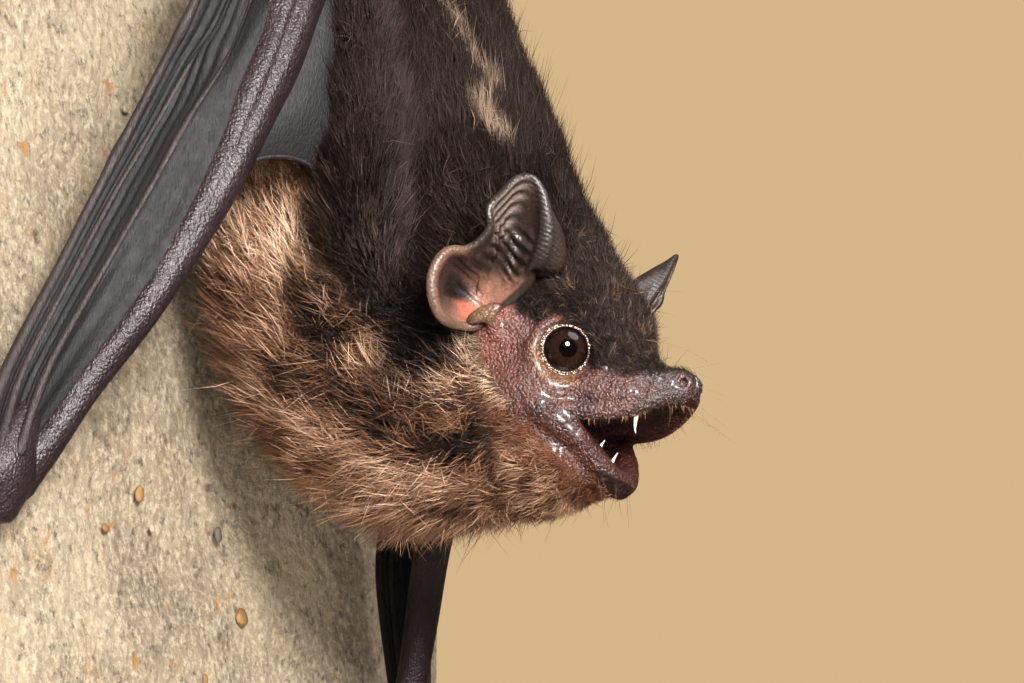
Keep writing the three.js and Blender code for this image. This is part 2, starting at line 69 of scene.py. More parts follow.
MM = 0.001
HEAD_OUT, HEAD_UP, HEAD_PITCH = 27.0, 10.2, 0.265
EYE_X, EYE_RADIUS = 3.75, 1.6
SIDES = (("right", -1), ("left", 1))
EYES = [sum(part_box(f"eye_{name}"), Vector()) / 2 for name, _ in SIDES]
ORIGIN = (EYES[0] + EYES[1]) / 2 + Vector((0, HEAD_OUT * MM, -HEAD_UP * MM))
FORWARD = np.array([0, -math.cos(HEAD_PITCH), -math.sin(HEAD_PITCH)])
CROWN = np.array([0, -math.sin(HEAD_PITCH), math.cos(HEAD_PITCH)])
HEAD_ORIGIN = np.array([0, -HEAD_OUT, HEAD_UP])
rng = np.random.default_rng(7)


def head_at(x, f, v):
    return HEAD_ORIGIN + np.array([x, 0, 0]) + f * FORWARD + v * CROWN


def far_lift(x, f):
    """How much higher the left side of the face is carried, with the head a little tilted."""
    return 0.08 * (x + np.sqrt(x * x + 1.0) - 0.3) * smooth(-4.5, 0.5, f) * smooth(-1.5, 0.5, x)


def head_points(points):
    """Bat-space points from rows of x, f, v."""
    p = np.array(points, float)
    p[:, 2] += far_lift(p[:, 0], p[:, 1])
    return HEAD_ORIGIN + p[:, :1] * [1, 0, 0] + p[:, 1:2] * FORWARD + p[:, 2:3] * CROWN


def to_head(points):
    """Rows of x, f, v from bat-space points."""
    d = points - HEAD_ORIGIN
    return np.stack([d[:, 0], d @ FORWARD, d @ CROWN], 1)


def unit(v):
    return v / np.maximum(np.linalg.norm(v, axis=-1, keepdims=True), 1e-9)


def smooth(low, high, value):
    t = np.clip((value - low) / (high - low), 0, 1)
    return t * t * (3 - 2 * t)


def catmull_rom(p, q, r, z, u):
    """The curve between q and r, at u from 0 to 1, with p before and z after."""
    return 0.5 * (2 * q + (r - p) * u + (2 * p - 5 * q + 4 * r - z) * u**2 + (3 * q - p - 3 * r + z) * u**3)


def spline(rows, t):
    """Catmull-Rom through equal rows, at t from 0 to 1 (an array)."""
    rows = np.asarray(rows, float)
    last = len(rows) - 1
    s = np.clip(np.asarray(t, float), 0, 1) * last
    i = np.minimum(s.astype(int), last - 1)
    return catmull_rom(*(rows[np.clip(i + k, 0, last)] for k in (-1, 0, 1, 2)), (s - i)[..., None])


def closed_spline(rows, t):
    """Catmull-Rom round a closed run of rows, at t from 0 to 1."""
    rows = np.asarray(rows, float)
    s = np.asarray(t, float) * len(rows)
    i = np.floor(s).astype(int)
    return catmull_rom(*(rows[(i + k) % len(rows)] for k in (-1, 0, 1, 2)), (s - i)[..., None])


PRIMES = np.array([73856093, 19349663, 83492791])  # large whole numbers that scramble a cell's place
SEED_STEP, MIXER = 2654435, 1274126177


def scrambled(cells, seed):
    """A large whole number for each cell, the same each time."""
    h = cells ^ (seed * SEED_STEP)
    return (h ^ (h >> 13)) * MIXER


def noise(points, scale, seed=0):
    """Smooth value noise from -1 to 1 at points, with lumps about scale wide."""
    p = points / scale + seed * 17.31
    base = np.floor(p).astype(np.int64)
    w = p - base
    w = w * w * (3 - 2 * w)
    total = 0
    for corner in range(8):
        step = np.array([corner & 1, corner >> 1 & 1, corner >> 2 & 1])
        c = (base + step) * PRIMES
        h = scrambled(c[..., 0] ^ c[..., 1] ^ c[..., 2], seed)
        value = ((h ^ (h >> 16)) & 65535) / 32767.5 - 1
        total = total + value * np.prod(np.where(step, w, 1 - w), -1)
    return total


# ---------------------------------------------------------------- the body's stations

# Belly out and up, back out and up, and half-width over the coat, then the coat's depth at the belly,
# back and side. They run from the rump to the back of the head.
BODY = [
    [8.6, 61.4, 10.8, 61.8, 1.4, 0.6, 0.6, 0.6],
    [6.2, 58.6, 14.0, 59.4, 5.2, 1.2, 1.2, 1.2],
    [4.8, 51.5, 17.2, 52.5, 8.0, 1.6, 1.6, 1.6],
    [4.4, 43.5, 19.3, 44.5, 9.2, 1.8, 1.6, 1.7],
    [4.2, 35.0, 20.9, 36.5, 10.2, 1.9, 1.6, 1.8],
    [2.8, 26.3, 23.7, 29.6, 11.4, 2.1, 1.6, 1.8],
    [1.2, 17.8, 24.9, 26.2, 11.8, 2.4, 1.5, 2.1],
    [3.5, 9.2, 25.6, 24.2, 10.4, 2.5, 1.5, 2.1],
    [10.8, 2.3, 26.0, 23.0, 7.4, 2.3, 1.4, 1.4],
]
# The same along the head, as f, v of the throat, f, v of the crown, and half-width.
HEAD = [
    [-4.6, -10.6, -3.8, 11.0, 6.2, 2.0, 1.4, 0.9],
    [-2.6, -10.2, -2.3, 9.1, 5.9, 1.6, 1.2, 0.9],
    [-0.9, -9.4, -0.9, 7.2, 5.5, 1.3, 0.8, 0.9],
    [0.5, -8.8, 0.5, 5.6, 4.6, 1.0, 0.6, 0.5],
    [2.5, -7.8, 2.5, 2.3, 3.4, 0.5, 0.4, 0.1],
    [4.5, -6.6, 4.5, 1.0, 2.5, 0.3, 0.2, 0.1],
    [6.6, -1.2, 6.6, 0.5, 1.0, 0.1, 0.1, 0.1],
]
STATION_STEPS = 12  # stations from row to row


def body_rows():
    rows = [list(row) for row in BODY]
    for f, low, crown, high, half, belly, back, side in HEAD:
        a, b = head_at(0, f, low), head_at(0, crown, high)
        rows.append([-a[1], a[2], -b[1], b[2], half, belly, back, side])
    return np.array(rows)


class Stations:
    """The body's long axis as a run of cross-lines from belly to back."""

    def __init__(self):
        rows = body_rows()
        self.count = (len(rows) - 1) * STATION_STEPS + 1
        fine = spline(rows, np.linspace(0, 1, self.count))
        self.belly, self.back = fine[:, 0:2], fine[:, 2:4]
        self.half = fine[:, 4]
        line = unit(self.back - self.belly)
        self.skin_belly = self.belly + line * fine[:, 5:6]
        self.skin_back = self.back - line * fine[:, 6:7]
        self.skin_half = self.half - fine[:, 7]
        across = np.stack([line[:, 1], -line[:, 0]], 1)
        onward = np.gradient((self.belly + self.back) / 2, axis=0)
        self.normal = across * np.sign((across * onward).sum(1, keepdims=True))

    def place(self, out, up):
        """Station number (a fraction) and the height along the line from -1 at the belly to 1 at the back."""
        flat = np.stack([np.ravel(out), np.ravel(up)], 1)
        t = np.empty(len(flat))
        batch = 40000  # points worked out at a time, to spare memory
        for i in range(0, len(flat), batch):
            p = flat[i : i + batch]
            beyond = p @ self.normal.T - (self.belly * self.normal).sum(1)
            passed = np.clip((beyond > 0).sum(1), 1, self.count - 1)
            here = np.arange(len(p))
            a, b = beyond[here, passed - 1], beyond[here, passed]
            t[i : i + batch] = passed - 1 + np.clip(a / np.where(abs(a - b) < 1e-6, 1e-6, a - b), 0, 1)
        return t

    def read(self, table, t):
        i = np.minimum(t.astype(int), self.count - 2)
        w = t - i
        w = w[:, None] if table.ndim > 1 else w
        return table[i] * (1 - w) + table[i + 1] * w

    def section(self, out, up):
        """t, w on the skin's own section, the section's half-width and half-height."""
        t = self.place(out, up)
        low, high = self.read(self.skin_belly, t), self.read(self.skin_back, t)
        line = high - low
        size = np.linalg.norm(line, axis=1)
        p = np.stack([np.ravel(out), np.ravel(up)], 1)
        w = ((p - low) * line).sum(1) / size**2 * 2 - 1
        return t, w, self.read(self.skin_half, t), size / 2

    def tailward(self, t, w):
        """The direction towards the tail at t, w, in the mid-plane, as bat-space vectors."""
        def spot(s):
            low, high = self.read(self.belly, s), self.read(self.back, s)
            return low + (high - low) * ((w[:, None] + 1) / 2)

        a = spot(np.clip(t - 3, 0, self.count - 1.001))
        b = spot(np.clip(t + 3, 0, self.count - 1.001))
        d = unit(a - b)
        return np.stack([np.zeros(len(d)), -d[:, 0], d[:, 1]], 1)


stations = Stations()

# ---------------------------------------------------------------- solid fields


class Field:
    """Signed distances on a regular grid, negative inside."""

    EMPTY = 9  # mm from any form, before there is one
    MARGIN = 0.3  # mm round a shape in which it changes the grid

    def __init__(self, low, high, step):
        self.step = step
        self.low = np.array(low, float)
        sizes = np.ceil((np.array(high) - self.low) / step).astype(int) + 1
        self.axes = [(self.low[i] + step * np.arange(n)).astype(np.float32) for i, n in enumerate(sizes)]
        self.value = np.full(sizes, self.EMPTY, np.float32)

    def window(self, low, high):
        spans = []
        for axis, a, b in zip(self.axes, low, high):
            i, j = np.searchsorted(axis, [a, b])
            spans.append(slice(max(i - 1, 0), min(j + 1, len(axis))))
        x, y, z = (axis[s] for axis, s in zip(self.axes, spans))
        return tuple(spans), (x[:, None, None], y[None, :, None], z[None, None, :])

    def fill(self, distance):
        """Starts the whole grid off from one form's distances."""
        x, y, z = self.axes
        self.value[:] = distance(x[:, None, None], y[None, :, None], z[None, None, :])

    def meet(self, shape, blend, sign):
        """Joins a shape to the form when sign is 1, and carves it out when sign is -1."""
        distance, low, high = shape
        s, p = self.window(np.array(low) - blend - self.MARGIN, np.array(high) + blend + self.MARGIN)
        self.value[s] = sign * soft_min(sign * self.value[s], distance(*p), blend)

    def join(self, shape, blend):
        self.meet(shape, blend, 1)

    def carve(self, shape, blend):
        self.meet(shape, blend, -1)

    def surface(self):
        """Vertices and quads of the zero surface, by surface nets."""
        inside = self.value < 0
        points, index = self.net_points(inside)
        return points, np.concatenate([self.net_quads(inside, index, axis) for axis in range(3)])

    def net_points(self, inside):
        """A point in each cell that the surface crosses, and each cell's number in that list."""
        size = np.array(inside.shape) - 1
        corners = [(i, j, k) for i in (0, 1) for j in (0, 1) for k in (0, 1)]
        part = lambda grid, c: grid[tuple(slice(o, o + n) for o, n in zip(c, size))]
        filled = sum(part(inside, c).astype(np.int8) for c in corners)
        mixed = (filled > 0) & (filled < 8)
        cells = np.argwhere(mixed)
        index = np.full(mixed.shape, -1, np.int32)
        index[mixed] = np.arange(len(cells))
        values = np.stack([part(self.value, c)[mixed] for c in corners], 1)
        place = np.zeros((len(cells), 3))
        hits = np.zeros(len(cells))
        for a in range(8):
            for b in range(a + 1, 8):
                step = np.abs(np.subtract(corners[a], corners[b]))
                if step.sum() != 1:
                    continue
                va, vb = values[:, a], values[:, b]
                crossed = (va < 0) != (vb < 0)
                t = np.where(crossed, va / np.where(crossed, va - vb, 1), 0)
                spot = np.array(corners[a]) + t[:, None] * step
                place += spot * crossed[:, None]
                hits += crossed
        return self.low + self.step * (cells + place / hits[:, None]), index

    def net_quads(self, inside, index, axis):
        """Quads round each step along an axis that passes through the surface."""
        b, c = (axis + 1) % 3, (axis + 2) % 3
        change = inside != np.roll(inside, -1, axis)
        change[tuple(slice(-1, None) if i == axis else slice(None) for i in range(3))] = False
        for other in (b, c):
            for edge in (slice(0, 1), slice(-1, None)):
                change[tuple(edge if i == other else slice(None) for i in range(3))] = False
        spots = np.argwhere(change)
        back_b, back_c = np.eye(3, dtype=int)[b], np.eye(3, dtype=int)[c]
        around = [spots - back_b - back_c, spots - back_c, spots, spots - back_b]
        quad = np.stack([index[tuple(r.T)] for r in around], 1)
        flip = ~inside[tuple(spots.T)]
        quad[flip] = quad[flip][:, ::-1]
        return quad


def soft_min(a, b, k):
    """The lower of a and b, rounded where they come within k of each other."""
    h = np.maximum(k - np.abs(a - b), 0) / k
    return np.minimum(a, b) - h * h * k * 0.25


def soft_max(a, b, k):
    return -soft_min(-a, -b, k)


def oval(x, half, w, tall, power):
    """About how far outside a squared oval a place is, given x and its share w of the half-height."""
    q = (np.abs(x / half) ** power + np.abs(w) ** power) ** (1 / power)
    return (q - 1) * np.minimum(half, tall)


def ellipsoid(centre, radii, turn=None, mirror=True):
    """An ellipsoid at centre. Turn is a 3 x 3 matrix whose rows are its axes. Mirror puts one on each side.

    A shape is its distance, as a function of three coordinates, and the corners of the box round it.
    """
    c, r = np.array(centre, float), np.array(radii, float)
    axes = np.eye(3) if turn is None else np.array(turn)
    reach = np.sqrt(((axes * r[:, None]) ** 2).sum(0))

    def distance(x, y, z):
        d = [(np.abs(x) if mirror else x) - c[0], y - c[1], z - c[2]]
        e = [sum(axes[i][j] * d[j] for j in range(3)) for i in range(3)]
        near = np.sqrt(sum((e[i] / r[i]) ** 2 for i in range(3)))
        slope = np.sqrt(sum((e[i] / r[i] ** 2) ** 2 for i in range(3)))
        return near * (near - 1) / np.maximum(slope, 1e-4)

    low, high = c - reach, c + reach
    if mirror:
        low[0], high[0] = -(abs(c[0]) + reach[0]), abs(c[0]) + reach[0]
    return distance, low, high


def rod(a, b, ra, rb, mirror=True):
    """A round rod from a to b with radii ra and rb."""
    a, b = np.array(a, float), np.array(b, float)
    line = b - a
    square = (line**2).sum()

    def distance(x, y, z):
        d = [(np.abs(x) if mirror else x) - a[0], y - a[1], z - a[2]]
        t = np.clip(sum(d[i] * line[i] for i in range(3)) / square, 0, 1)
        gap = np.sqrt(sum((d[i] - t * line[i]) ** 2 for i in range(3)))
        return gap - (ra + (rb - ra) * t)

    r = max(ra, rb)
    low, high = np.minimum(a, b) - r, np.maximum(a, b) + r
    if mirror:
        low[0], high[0] = -max(abs(a[0]), abs(b[0])) - r, max(abs(a[0]), abs(b[0])) + r
    return distance, low, high


def join_chain(field, points, radii, blend, mirror=True):
    """A bent rod through points."""
    for a, b, ra, rb in zip(points, points[1:], radii, radii[1:]):
        field.join(rod(a, b, ra, rb, mirror), blend)


def head_loft(rows, top, bottom, low_f, high_f):
    """A closed form along f from rows of f, v low, v high and half-width, squarer as top or bottom rise."""
    rows = np.array(rows, float)

    def distance(x, f, v):
        ff = np.clip(f, rows[0, 0], rows[-1, 0])
        low, high, half = (np.interp(ff, rows[:, 0], rows[:, i]) for i in (1, 2, 3))
        mid, tall = (low + high) / 2, (high - low) / 2
        w = (v - mid) / tall
        power = bottom + (top - bottom) * smooth(-0.6, 0.3, w)
        return soft_max(oval(x, half, w, tall, power), np.maximum(low_f - f, f - high_f), 0.5)

    half, low, high = rows[:, 3].max(), rows[:, 1].min(), rows[:, 2].max()
    return distance, (-half, low_f, low), (half, high_f, high)


BODY_POWER = 2.15  # how squarely the trunk's section turns its corners: 2 is an ellipse


def body_loft(in_head, end):
    """The trunk, neck and back of the head, in the head's or the bat's own axes, closed at f or z of end."""

    def distance(x, y, z):
        if in_head:  # y is f and z is v
            out = HEAD_OUT + y * math.cos(HEAD_PITCH) + z * math.sin(HEAD_PITCH)
            up = HEAD_UP - y * math.sin(HEAD_PITCH) + z * math.cos(HEAD_PITCH)
        else:
            out, up = -y + 0 * z, z + 0 * y
        flat = np.broadcast_arrays(out, up)
        shape = flat[0].shape
        _, w, half, tall = (a.reshape(shape) for a in stations.section(*flat))
        side = oval(x, half, w, tall, BODY_POWER).astype(np.float32)
        return soft_max(side, (y if in_head else z) - end, 0.8)

    return distance


# ---------------------------------------------------------------- the head

HEAD_STEP = 0.12
NECK_CUT = -8.0  # f where the fine head skin meets the coarser body skin

# Along the muzzle and the jaw: f, v low, v high and half-width.
MUZZLE = [
    [-1.6, -3.7, 5.6, 4.75],
    [0.0, -3.7, 4.7, 4.55],
    [1.4, -3.55, 3.0, 4.15],
    [2.5, -3.3, 1.5, 3.65],
    [3.7, -2.8, 0.72, 3.05],
    [4.7, -2.15, 0.55, 2.45],
    [5.4, -1.5, 0.52, 1.8],
    [6.0, -1.0, 0.4, 1.2],
]
JAW = [
    [-1.6, -8.2, -4.0, 4.3],
    [-0.6, -8.0, -4.25, 4.15],
    [0.8, -7.7, -4.8, 3.65],
    [1.65, -7.4, -5.5, 2.6],
    [2.45, -7.15, -6.1, 1.55],
    [3.0, -6.9, -6.3, 0.95],
]
# Along each lip's line, from the corner of the mouth to the front: x, f, v.
UPPER_LIP = [
    [-4.35, -1.3, -3.55], [-4.15, -0.2, -3.5], [-3.75, 1.2, -3.35], [-3.3, 2.5, -3.1], [-2.8, 3.6, -2.7],
    [-2.25, 4.6, -2.05], [-1.6, 5.4, -1.45], [-0.7, 6.0, -1.05], [0.0, 6.1, -0.95],
]
LOWER_LIP = [
    [-4.4, -1.25, -3.7], [-4.1, -0.1, -4.05], [-3.55, 0.85, -4.5], [-2.85, 1.65, -5.05],
    [-2.05, 2.3, -5.75], [-1.3, 2.7, -6.3], [-0.6, 2.9, -6.5], [0.0, 2.95, -6.5],
]
GAZE = unit(np.array([0.78, 0.61, -0.13]))  # x, f, v of the way the left eye looks
EYE = np.array([EYE_X - 0.05, -0.65, 0.17])
TEETH = [  # x, f, v at the root and at the tip, and the root's radius
    ((2.0, 4.15, -2.5), (2.0, 4.35, -3.8), 0.15),
    ((1.15, 2.8, -6.2), (1.15, 3.08, -4.95), 0.16),
    ((1.8, 2.1, -5.7), (1.8, 2.4, -4.45), 0.19),
]
TRAGUS = (6.5, -4.85, 1.05)
LID_RODS = 40
RING_BACK = unit(np.cross(GAZE, [0.0, 0.0, 1.0]))  # across the eye, towards the ear
RING_UP = np.cross(RING_BACK, GAZE)


def ring(angle, radius, along):
    """A point round the left eye's gaze, as x, f, v. Angle 0 is towards the ear and grows upwards."""
    return EYE + along * GAZE + radius * (math.cos(angle) * RING_BACK + math.sin(angle) * RING_UP)


LOW_ANGLE = 1.15  # how far round from the ear, downwards, the lid is broadest and tan


def low_side(angle):
    """1 on the lower rear of the eye, where the lid is broad, and 0 elsewhere."""
    return float(smooth(0.3, 0.9, math.cos(angle + LOW_ANGLE)))


def turned(axis, degrees):
    """Rows of axes turned about axis 0, 1 or 2."""
    return np.array(Matrix.Rotation(math.radians(degrees), 3, "XYZ"[axis]))


def join_lip(field, rows, radius, blend, ends):
    """A rounded lip through rows, on both sides. Its ends have a share of its radius."""
    t = np.linspace(0, 1, 25)
    radii = radius * (ends + (1 - ends) * np.sin(t * math.pi))
    join_chain(field, [(-x, f, v) for x, f, v in spline(rows, t)], radii, blend)


def join_face(field):
    """The muzzle and nose, then the cheeks, brow, the swelling of the lip and the temples."""
    field.join(head_loft(MUZZLE, 2.1, 3.6, -2.4, 6.5), 0.9)
    field.join(ellipsoid((0, 5.5, -0.1), (1.2, 0.75, 0.7), None, False), 0.5)
    field.join(ellipsoid((3.1, -2.5, -2.5), (2.1, 2.5, 2.6)), 1.2)
    field.join(ellipsoid((2.2, -1.2, 2.7), (2.9, 2.2, 2.2)), 1.2)
    field.join(ellipsoid((2.3, 3.0, -2.0), (1.3, 1.8, 1.1), turned(0, -14)), 0.8)
    field.join(ellipsoid((3.3, -4.9, 1.4), (2.4, 2.2, 2.4)), 1.4)


def join_mouth(field):
    """The jaw and chin, the open mouth, its lips and tongue, and the warts and folds beside it."""
    field.join(head_loft(JAW, 3.2, 2.1, -2.4, 3.0), 0.8)
    field.join(ellipsoid((0.35, 3.0, -6.85), (0.65, 0.6, 0.6)), 0.3)
    field.carve(ellipsoid((0, 3.0, -3.9), (2.5, 3.6, 1.35), turned(0, -14), False), 0.35)
    field.carve(ellipsoid((0, 2.2, -5.0), (2.1, 2.7, 1.0), turned(0, 26), False), 0.35)
    join_lip(field, UPPER_LIP, 0.33, 0.45, 0.9)
    join_lip(field, LOWER_LIP, 0.37, 0.7, 0.95)
    field.join(ellipsoid((0, 1.6, -5.9), (1.7, 2.2, 0.6), turned(0, 26), False), 0.3)
    field.join(rod((4.6, -2.3, -4.3), (4.5, -0.9, -3.2), 0.25, 0.3), 0.5)
    field.join(ellipsoid((4.75, -1.5, -3.4), (0.34, 0.36, 0.3)), 0.25)
    field.join(ellipsoid((2.6, 3.35, -0.1), (0.24, 0.26, 0.2)), 0.25)


def join_nostrils(field):
    """Nostrils on short tubes that point forward and out, with a groove between them."""
    field.join(rod((0.5, 5.3, -0.15), (0.98, 5.95, -0.25), 0.5, 0.45), 0.25)
    field.carve(rod((0.98, 6.05, -0.25), (1.5, 6.75, -0.32), 0.27, 0.36), 0.08)
    field.carve(ellipsoid((0, 6.3, -0.1), (0.13, 0.45, 0.5), None, False), 0.15)


def join_lids(field):
    """Lids round an open bowl, thicker and wider on the low side, and room for the eyeball."""
    field.carve(rod(EYE + 0.75 * GAZE, EYE + 2.1 * GAZE, 1.6, 2.0), 0.5)
    angles = [2 * math.pi * k / LID_RODS for k in range(LID_RODS + 1)]
    low = [low_side(a) for a in angles]
    points = [ring(a, 1.80 + 0.14 * w, 0.44 - 0.10 * w) for a, w in zip(angles, low)]
    join_chain(field, points, [0.25 + 0.18 * w for w in low], 0.4)
    field.carve(ellipsoid(EYE, (EYE_RADIUS + 0.04,) * 3), 0.06)


def join_ear_root(field):
    """The hollow under the ear, and the tragus on its stalk."""
    field.carve(ellipsoid((6.5, -6.0, 2.6), (2.4, 2.1, 1.6)), 0.5)
    field.join(ellipsoid(TRAGUS, (0.3, 1.2, 0.48), turned(0, -33)), 0.12)
    field.join(rod((5.3, -4.3, 0.2), (6.2, -4.5, 0.85), 0.45, 0.3), 0.3)


def head_field():
    field = Field((-9.0, -9.0, -12.4), (9.0, 7.5, 14.6), HEAD_STEP)
    field.fill(body_loft(True, 0.2))
    for join in (join_face, join_mouth, join_nostrils, join_lids, join_ear_root):
        join(field)
    return field


def lip_gap(h):
    """How far head points are from the line of the lips, in mm, with x taken as positive."""
    t = np.linspace(0, 1, 30)
    line = np.concatenate([spline(UPPER_LIP, t), spline(LOWER_LIP, t)]) * [-1, 1, 1]
    gap = np.full(len(h), 9.0)
    for place in line:
        gap = np.minimum(gap, np.linalg.norm(h - place, axis=1))
    return gap


def head_mesh():
    points, quads = head_field().surface()
    points = head_points(points)
    quads = quads[:, ::-1]  # x, f, v is a left-handed frame
    h = to_head(points)
    h[:, 0] = np.abs(h[:, 0])
    # pebbled skin, left smooth on the lips, the lids and the tragus
    rough = 0.025 * noise(points, 0.5, 90) + 0.035 * noise(points, 0.27, 91)
    rough = rough * smooth(-0.6, 0.2, face_gap(h)) * smooth(-7.0, -6.0, h[:, 1])
    rough = rough * smooth(2.0, 2.6, np.linalg.norm(h - EYE, axis=1))
    rough = rough * smooth(1.1, 1.5, np.linalg.norm(h - TRAGUS, axis=1))
    rough = rough * smooth(0.35, 0.8, lip_gap(h))
    points = points + vertex_normals(points, quads) * rough[:, None]
    middle = to_head(points[quads].mean(1))
    return points, quads[middle[:, 1] > NECK_CUT - 0.15]


# ---------------------------------------------------------------- ears

# Round the rim: f, v, x, then the wall's middle as f, v, x, the wall's thickness, and how far its outside
# swells, from the front root over the tip, the notch and the round rear lobe.
EAR = [
    [-2.85, 3.35, 6.2, -3.8, 3.0, 5.7, 0.5, 0.3],
    [-2.55, 3.85, 6.8, -3.4, 3.8, 5.9, 0.5, 0.95],
    [-1.98, 4.81, 7.5, -3.0, 4.6, 6.0, 0.5, 1.25],
    [-1.68, 5.93, 8.0, -2.9, 5.5, 6.3, 0.48, 1.1],
    [-1.7, 6.9, 8.4, -3.0, 6.3, 6.7, 0.44, 0.75],
    [-1.9, 8.0, 8.8, -3.3, 6.8, 7.3, 0.4, 0.3],
    [-2.35, 8.65, 9.2, -3.6, 7.0, 7.9, 0.36, 0.05],
    [-3.0, 8.5, 9.45, -3.9, 6.9, 8.2, 0.36, 0.0],
    [-3.6, 7.7, 9.55, -4.1, 6.3, 8.3, 0.36, 0.0],
    [-4.2, 6.65, 9.5, -4.5, 5.6, 8.2, 0.4, 0.0],
    [-4.05, 5.6, 9.1, -4.7, 4.9, 7.7, 0.45, 0.0],
    [-4.6, 4.55, 8.95, -5.3, 4.2, 7.3, 0.5, 0.0],
    [-5.4, 3.8, 9.05, -6.2, 3.8, 7.2, 0.55, 0.0],
    [-6.4, 3.45, 9.3, -7.0, 3.6, 7.4, 0.6, 0.1],
    [-6.75, 2.3, 9.35, -7.6, 2.5, 7.3, 0.65, 0.1],
    [-6.6, 1.1, 9.0, -7.3, 1.1, 7.0, 0.65, 0.1],
    [-6.25, 0.25, 8.2, -6.7, 0.5, 6.6, 0.6, 0.0],
    [-5.8, 0.3, 6.7, -6.0, 0.8, 5.8, 0.5, 0.0],
    [-5.2, 0.8, 5.9, -5.5, 1.1, 5.4, 0.5, 0.0],
    [-4.4, 1.9, 5.7, -4.8, 2.0, 5.3, 0.5, 0.0],
]
EAR_FLOOR = np.array([5.1, -6.0, 2.4])  # x, f, v
EAR_CANAL = (-7.9, 2.3)  # f, v of the mouth of the canal
EAR_GRID, EAR_DEEP, EAR_EDGE = 184, 50, 5  # points round the ear, up one face, and over the edge
EAR_PIVOT = (5.5, -4.6)  # x, f of the upright line that the left ear is swung about
EAR_SWING = math.radians(42)  # how far forward the left ear is swung
EAR_SHIFT = 0.75  # how far forward the left ear stands
EAR_LIFT = [0.4, -1.25, -0.15]  # how far the left ear's top is moved as x, f, v


def grid_normals(grid, wrap):
    """Unit normals of a grid of points, whose first axis may be closed."""
    if wrap:
        du = np.roll(grid, -1, 0) - np.roll(grid, 1, 0)
    else:
        du = np.gradient(grid, axis=0)
    return unit(np.cross(du, np.gradient(grid, axis=1)))


def grid_quads(n, m, wrap, flip=False):
    i, j = np.meshgrid(np.arange(n if wrap else n - 1), np.arange(m - 1), indexing="ij")
    a, b = i.ravel() * m + j.ravel(), (i.ravel() + 1) % n * m + j.ravel()
    quads = np.stack([a, b, b + 1, a + 1], 1)
    return quads[:, ::-1] if flip else quads


def flap_share(t):
    """1 on the part of the ear, by its place round the rim, that folds back below the tip."""
    return smooth(0.26, 0.33, t) * smooth(0.53, 0.46, t)


def flap_phase(rank, t):
    """Counts the ridges that run along the folded-back part, from the floor to the rim."""
    return 8 * rank + 1.2 * t + 0.25 * np.sin(21 * t)


def ear_lift(f, v, rank, t):
    """How far ridges stand up: those across the cup, and the long ones down the folded-back part."""
    cup = smooth(0.14, 0.34, rank) * (1 - smooth(0.7, 0.85, rank))
    cup = cup * smooth(2.9, 4.2, v) * (1 - smooth(5.6, 6.6, v))
    flap = flap_share(t) * smooth(0.3, 0.45, rank) * (1 - smooth(0.97, 1, rank))
    lines = (v * 0.8 + f * 0.6 + 0.1 * np.sin(3 * f)) / 0.62
    crest = np.abs(np.cos(math.pi * lines)) ** 3
    return 0.3 * cup * crest + 0.09 * flap * np.sin(math.pi * flap_phase(rank, t)) ** 2


def ear_hollow(f, v, rank):
    """How far the canal goes in, less a fold that stands up in front of it."""
    hole = ((f - EAR_CANAL[0]) / 0.9) ** 2 + ((v - EAR_CANAL[1]) / 0.7) ** 2
    fold = np.exp(-(((f + 6.1) * 0.5 + (v - 2.2) * 0.87) / 0.2) ** 2 - ((f + 6.1) / 0.7) ** 2)
    return 1.7 * np.exp(-hole) * (1 - smooth(0.5, 0.8, rank)) - 0.3 * fold * (1 - smooth(0.4, 0.7, rank))


def swung(points):
    """The left ear's points, pricked and swung forward."""
    share = np.clip((points[:, 2] - 2.4) / 6.4, 0, 1)[:, None]
    points = points + share * EAR_LIFT + [0, EAR_SHIFT, 0]
    at_x, at_f = EAR_PIVOT
    x, f = points[:, 0] - at_x, points[:, 1] - at_f
    sine, cosine = math.sin(EAR_SWING), math.cos(EAR_SWING)
    return np.stack([at_x + x * cosine - f * sine, at_f + x * sine + f * cosine, points[:, 2]], 1)


